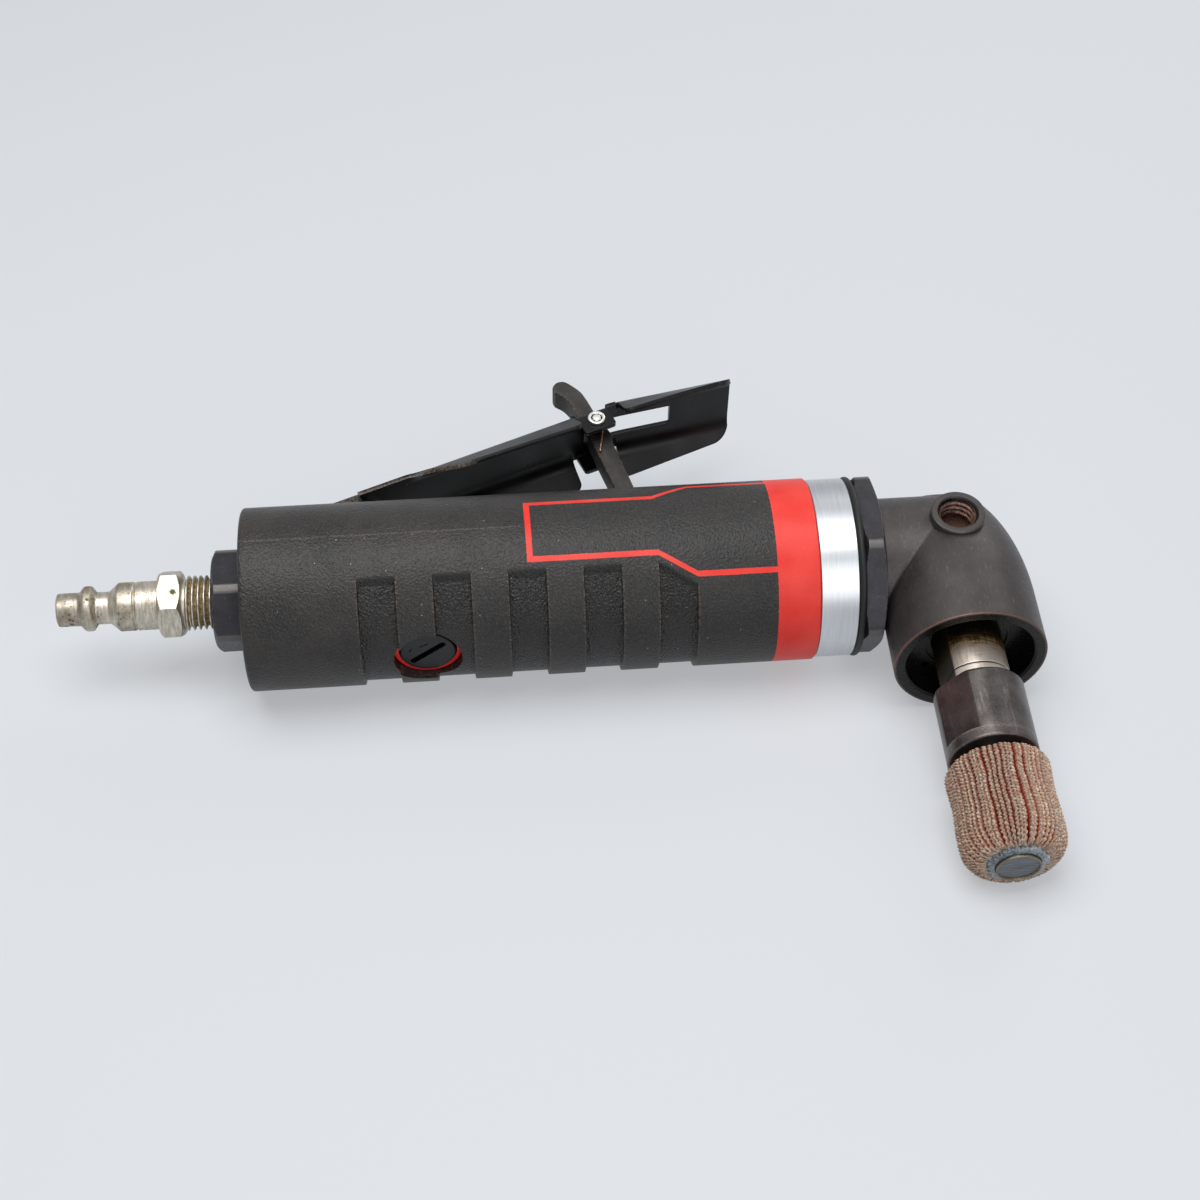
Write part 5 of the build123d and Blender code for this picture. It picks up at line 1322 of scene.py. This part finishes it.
def buildLock():
    p = lock
    pin = inTool(joints["lock_swing"]["pos_m"])
    foot = softened([p["thumb"][-1], *p["front"], *p["sole"], p["rear"][0]])[:-1]
    outline = np.concatenate([flowing(p["thumb"]), foot, flowing(p["rear"] + p["thumb"][:1])])
    piece = newObject("lockLever", [prism(outline + pin[:2], -p["half"], p["half"], 2)])
    roundEdges(piece, p["edge"], 3, 60)
    settle(piece, "lock", "grey_sintered_steel", "lock_lever", sharp=30)
    # rivet with a ringed head and a raised middle on each side
    seat, radius = lever["half"] + 0.01, p["headRadius"]
    face = seat + p["headRise"]
    headLine = [
        (seat, p["shank"]), (seat, radius, 0.15), (face, radius, 0.3), (face, 1.55, 0.08),
        (face - 0.25, 1.4, 0.08), (face - 0.25, 1.15, 0.08), (face + 0.08, 0.95, 0.2), (face + 0.15, 0),
    ]
    line = softened([(-a, r, *f) for a, r, *f in reversed(headLine)] + headLine)
    points, faces = lathe(line, "z", 48)
    # painted shade: the ring groove takes the dark greased finish
    grooved = [np.all(np.abs(np.hypot(*points[face, :2].T) - p["grooveRadius"]) < 0.2) for face in faces]
    points = points + np.array((pin[0], pin[1], 0))
    rivet = newObject("lockRivet", [(points, faces[np.logical_not(grooved)]), (points, faces[grooved], 1)])
    settle(rivet, "lever", "zinc_plated_steel", "lock_pin", finish=[rivetZinc, greaseAndShadeOxide])


# Valve spring between the stem and its seat; the real spring shortens as the stem goes in

valveSpring = {"wire": 0.4, "turns": 5, "stepsPerTurn": 28, "sides": 12}


def buildValveSpring():
    p = valveSpring
    low, high = toolBox("valve_spring")
    wire, sides = p["wire"], p["sides"]
    middle, radius = (low[0] + high[0]) / 2, (high[0] - low[0]) / 2 - wire
    base, top = low[1] + wire, high[1] - wire
    turn = np.linspace(0, fullTurn * p["turns"], p["turns"] * p["stepsPerTurn"] + 1)[:, None]
    around = np.arange(sides)[None] * fullTurn / sides
    reach = radius + wire * np.cos(around)
    rise = base + (top - base) * turn / turn[-1] + wire * np.sin(around)
    points = np.stack([middle + reach * np.cos(turn), rise, -reach * np.sin(turn)], -1).reshape(-1, 3)
    ends = [range(sides), range(len(points) - sides, len(points))]
    piece = newObject("valveSpring", [(points, [*gridFaces(len(turn), sides, True), *ends])])
    settle(piece, None, "spring_steel", "valve_spring", sharp=60)
    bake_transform(piece)


for build in (buildAirPlug, buildBushing, buildGrip, buildClampNut, buildHeadSeal, buildHead, buildSpindle,
              buildColletNut, buildWheel, buildRegulator, buildLever, buildLock, buildValveSpring):
    build()
print("pieces built")

# Carried-over solids take the finish of their slot, and grease with painted shade inside the head
ownFinish = {"bearing_retainer": greaseAndShadeOxide, "spindle_seal": greaseAndShadeOxide}
for node, cadObject in cadNodes.items():
    if not cadObject.hide_render:
        for slotMark in cadObject.material_slots:
            slotMark.material = ownFinish.get(node) or finishes[slotOf[node]]

# Stage: pale floor, soft lamps, camera where the picture was taken

stage = {"size": 1.5, "floor": "#a5a9ae", "pale": "#eef0f3", "glow": 0.42, "background": 0.66,
         "ambient": 0.18, "fadeFrom": 0.4, "fadeTo": 1.1,
         # place, width and power of each lamp
         "lamps": {"key": ((-0.1, -0.04, 0.85), 0.7, 6.2), "fill": ((0.2, -0.65, 0.34), 0.6, 1.6),
                   "rim": ((0.45, 0.55, 0.4), 0.4, 1.0)}}


def paleLevel(tree):
    # one plain level where the background is seen, another where it lights
    path = addNode(tree, "ShaderNodeLightPath").outputs
    return workOut(tree, {}, [
        ("seen", "MAXIMUM", path["Is Camera Ray"], path["Is Glossy Ray"],
         "MAXIMUM", path["Is Transmission Ray"]),
        ("level", mapRange, "seen", 0.0, 1.0, stage["ambient"], stage["background"]),
    ])


def buildStage():
    p = stage
    size = p["size"]
    mesh = bpy.data.meshes.new("floor")
    corners = [(-size, -size, 0), (size, -size, 0), (size, size, 0), (-size, size, 0)]
    mesh.from_pydata(corners, [], [(0, 1, 2, 3)])
    floor = linked("floor", mesh)
    material = bpy.data.materials.new("paleFloor")
    tree = emptyTree(material)
    made = workOut(tree, paleLevel(tree), [("glow", "MULTIPLY", "seen", p["glow"])])
    matt = addNode(tree, "ShaderNodeBsdfDiffuse", {"Color": p["floor"]})
    light = addNode(tree, "ShaderNodeEmission", {"Color": p["pale"], "Strength": made["glow"]})
    both = addNode(tree, "ShaderNodeAddShader", {0: matt, 1: light})
    # far out the floor turns into the background
    coords = addNode(tree, "ShaderNodeTexCoord").outputs["Object"]
    far = addNode(tree, vectorMath, {0: coords}, operation="LENGTH")
    reach = {0: far, 1: p["fadeFrom"], 2: p["fadeTo"]}
    fade = addNode(tree, mapRange, reach, interpolation_type="SMOOTHSTEP")
    haze = addNode(tree, "ShaderNodeEmission", {"Color": p["pale"], "Strength": made["level"]})
    mixed = addNode(tree, "ShaderNodeMixShader", {0: fade, 1: both, 2: haze})
    addNode(tree, "ShaderNodeOutputMaterial", {"Surface": mixed})
    mesh.materials.append(material)
    scene.world = bpy.data.worlds.new("studio")
    tree = emptyTree(scene.world)
    back = addNode(tree, "ShaderNodeBackground", {"Color": p["pale"], "Strength": paleLevel(tree)["level"]})
    addNode(tree, "ShaderNodeOutputWorld", {"Surface": back})
    for name, (place, width, power) in p["lamps"].items():
        lamp = bpy.data.lights.new(name, "AREA")
        lamp.size, lamp.energy = width, power
        lampObject = linked(name, lamp)
        lampObject.location = place
        lampObject.rotation_euler = (-Vector(place)).to_track_quat("-Z", "Y").to_euler()


view = {"from": (-119.222, -333.763, 419.454), "to": (-87.609, -6.216, 0.0), "lean": 0.01915, "lens": 65.136,
        "sensor": 36.0}


def buildCamera():
    p = view
    spot, aim = Vector(p["from"]), Vector(p["to"])
    forward = (aim - spot).normalized()
    right = forward.cross(Vector((0, 0, 1))).normalized()
    up = right.cross(forward)
    c, s = math.cos(p["lean"]), math.sin(p["lean"])
    right, up = c * right + s * up, c * up - s * right
    turn = Matrix((right, up, -forward)).transposed().to_4x4()
    data = bpy.data.cameras.new("camera")
    data.lens, data.sensor_width, data.clip_start, data.clip_end = p["lens"], p["sensor"], 0.01, 20
    camera = linked("camera", data)
    camera.matrix_world = Matrix.Translation(toolToRow @ spot) @ Matrix.Rotation(roll, 4, "X") @ turn
    scene.camera = camera


buildStage()
buildCamera()
scene.view_settings.view_transform = "Standard"
print("stage set")
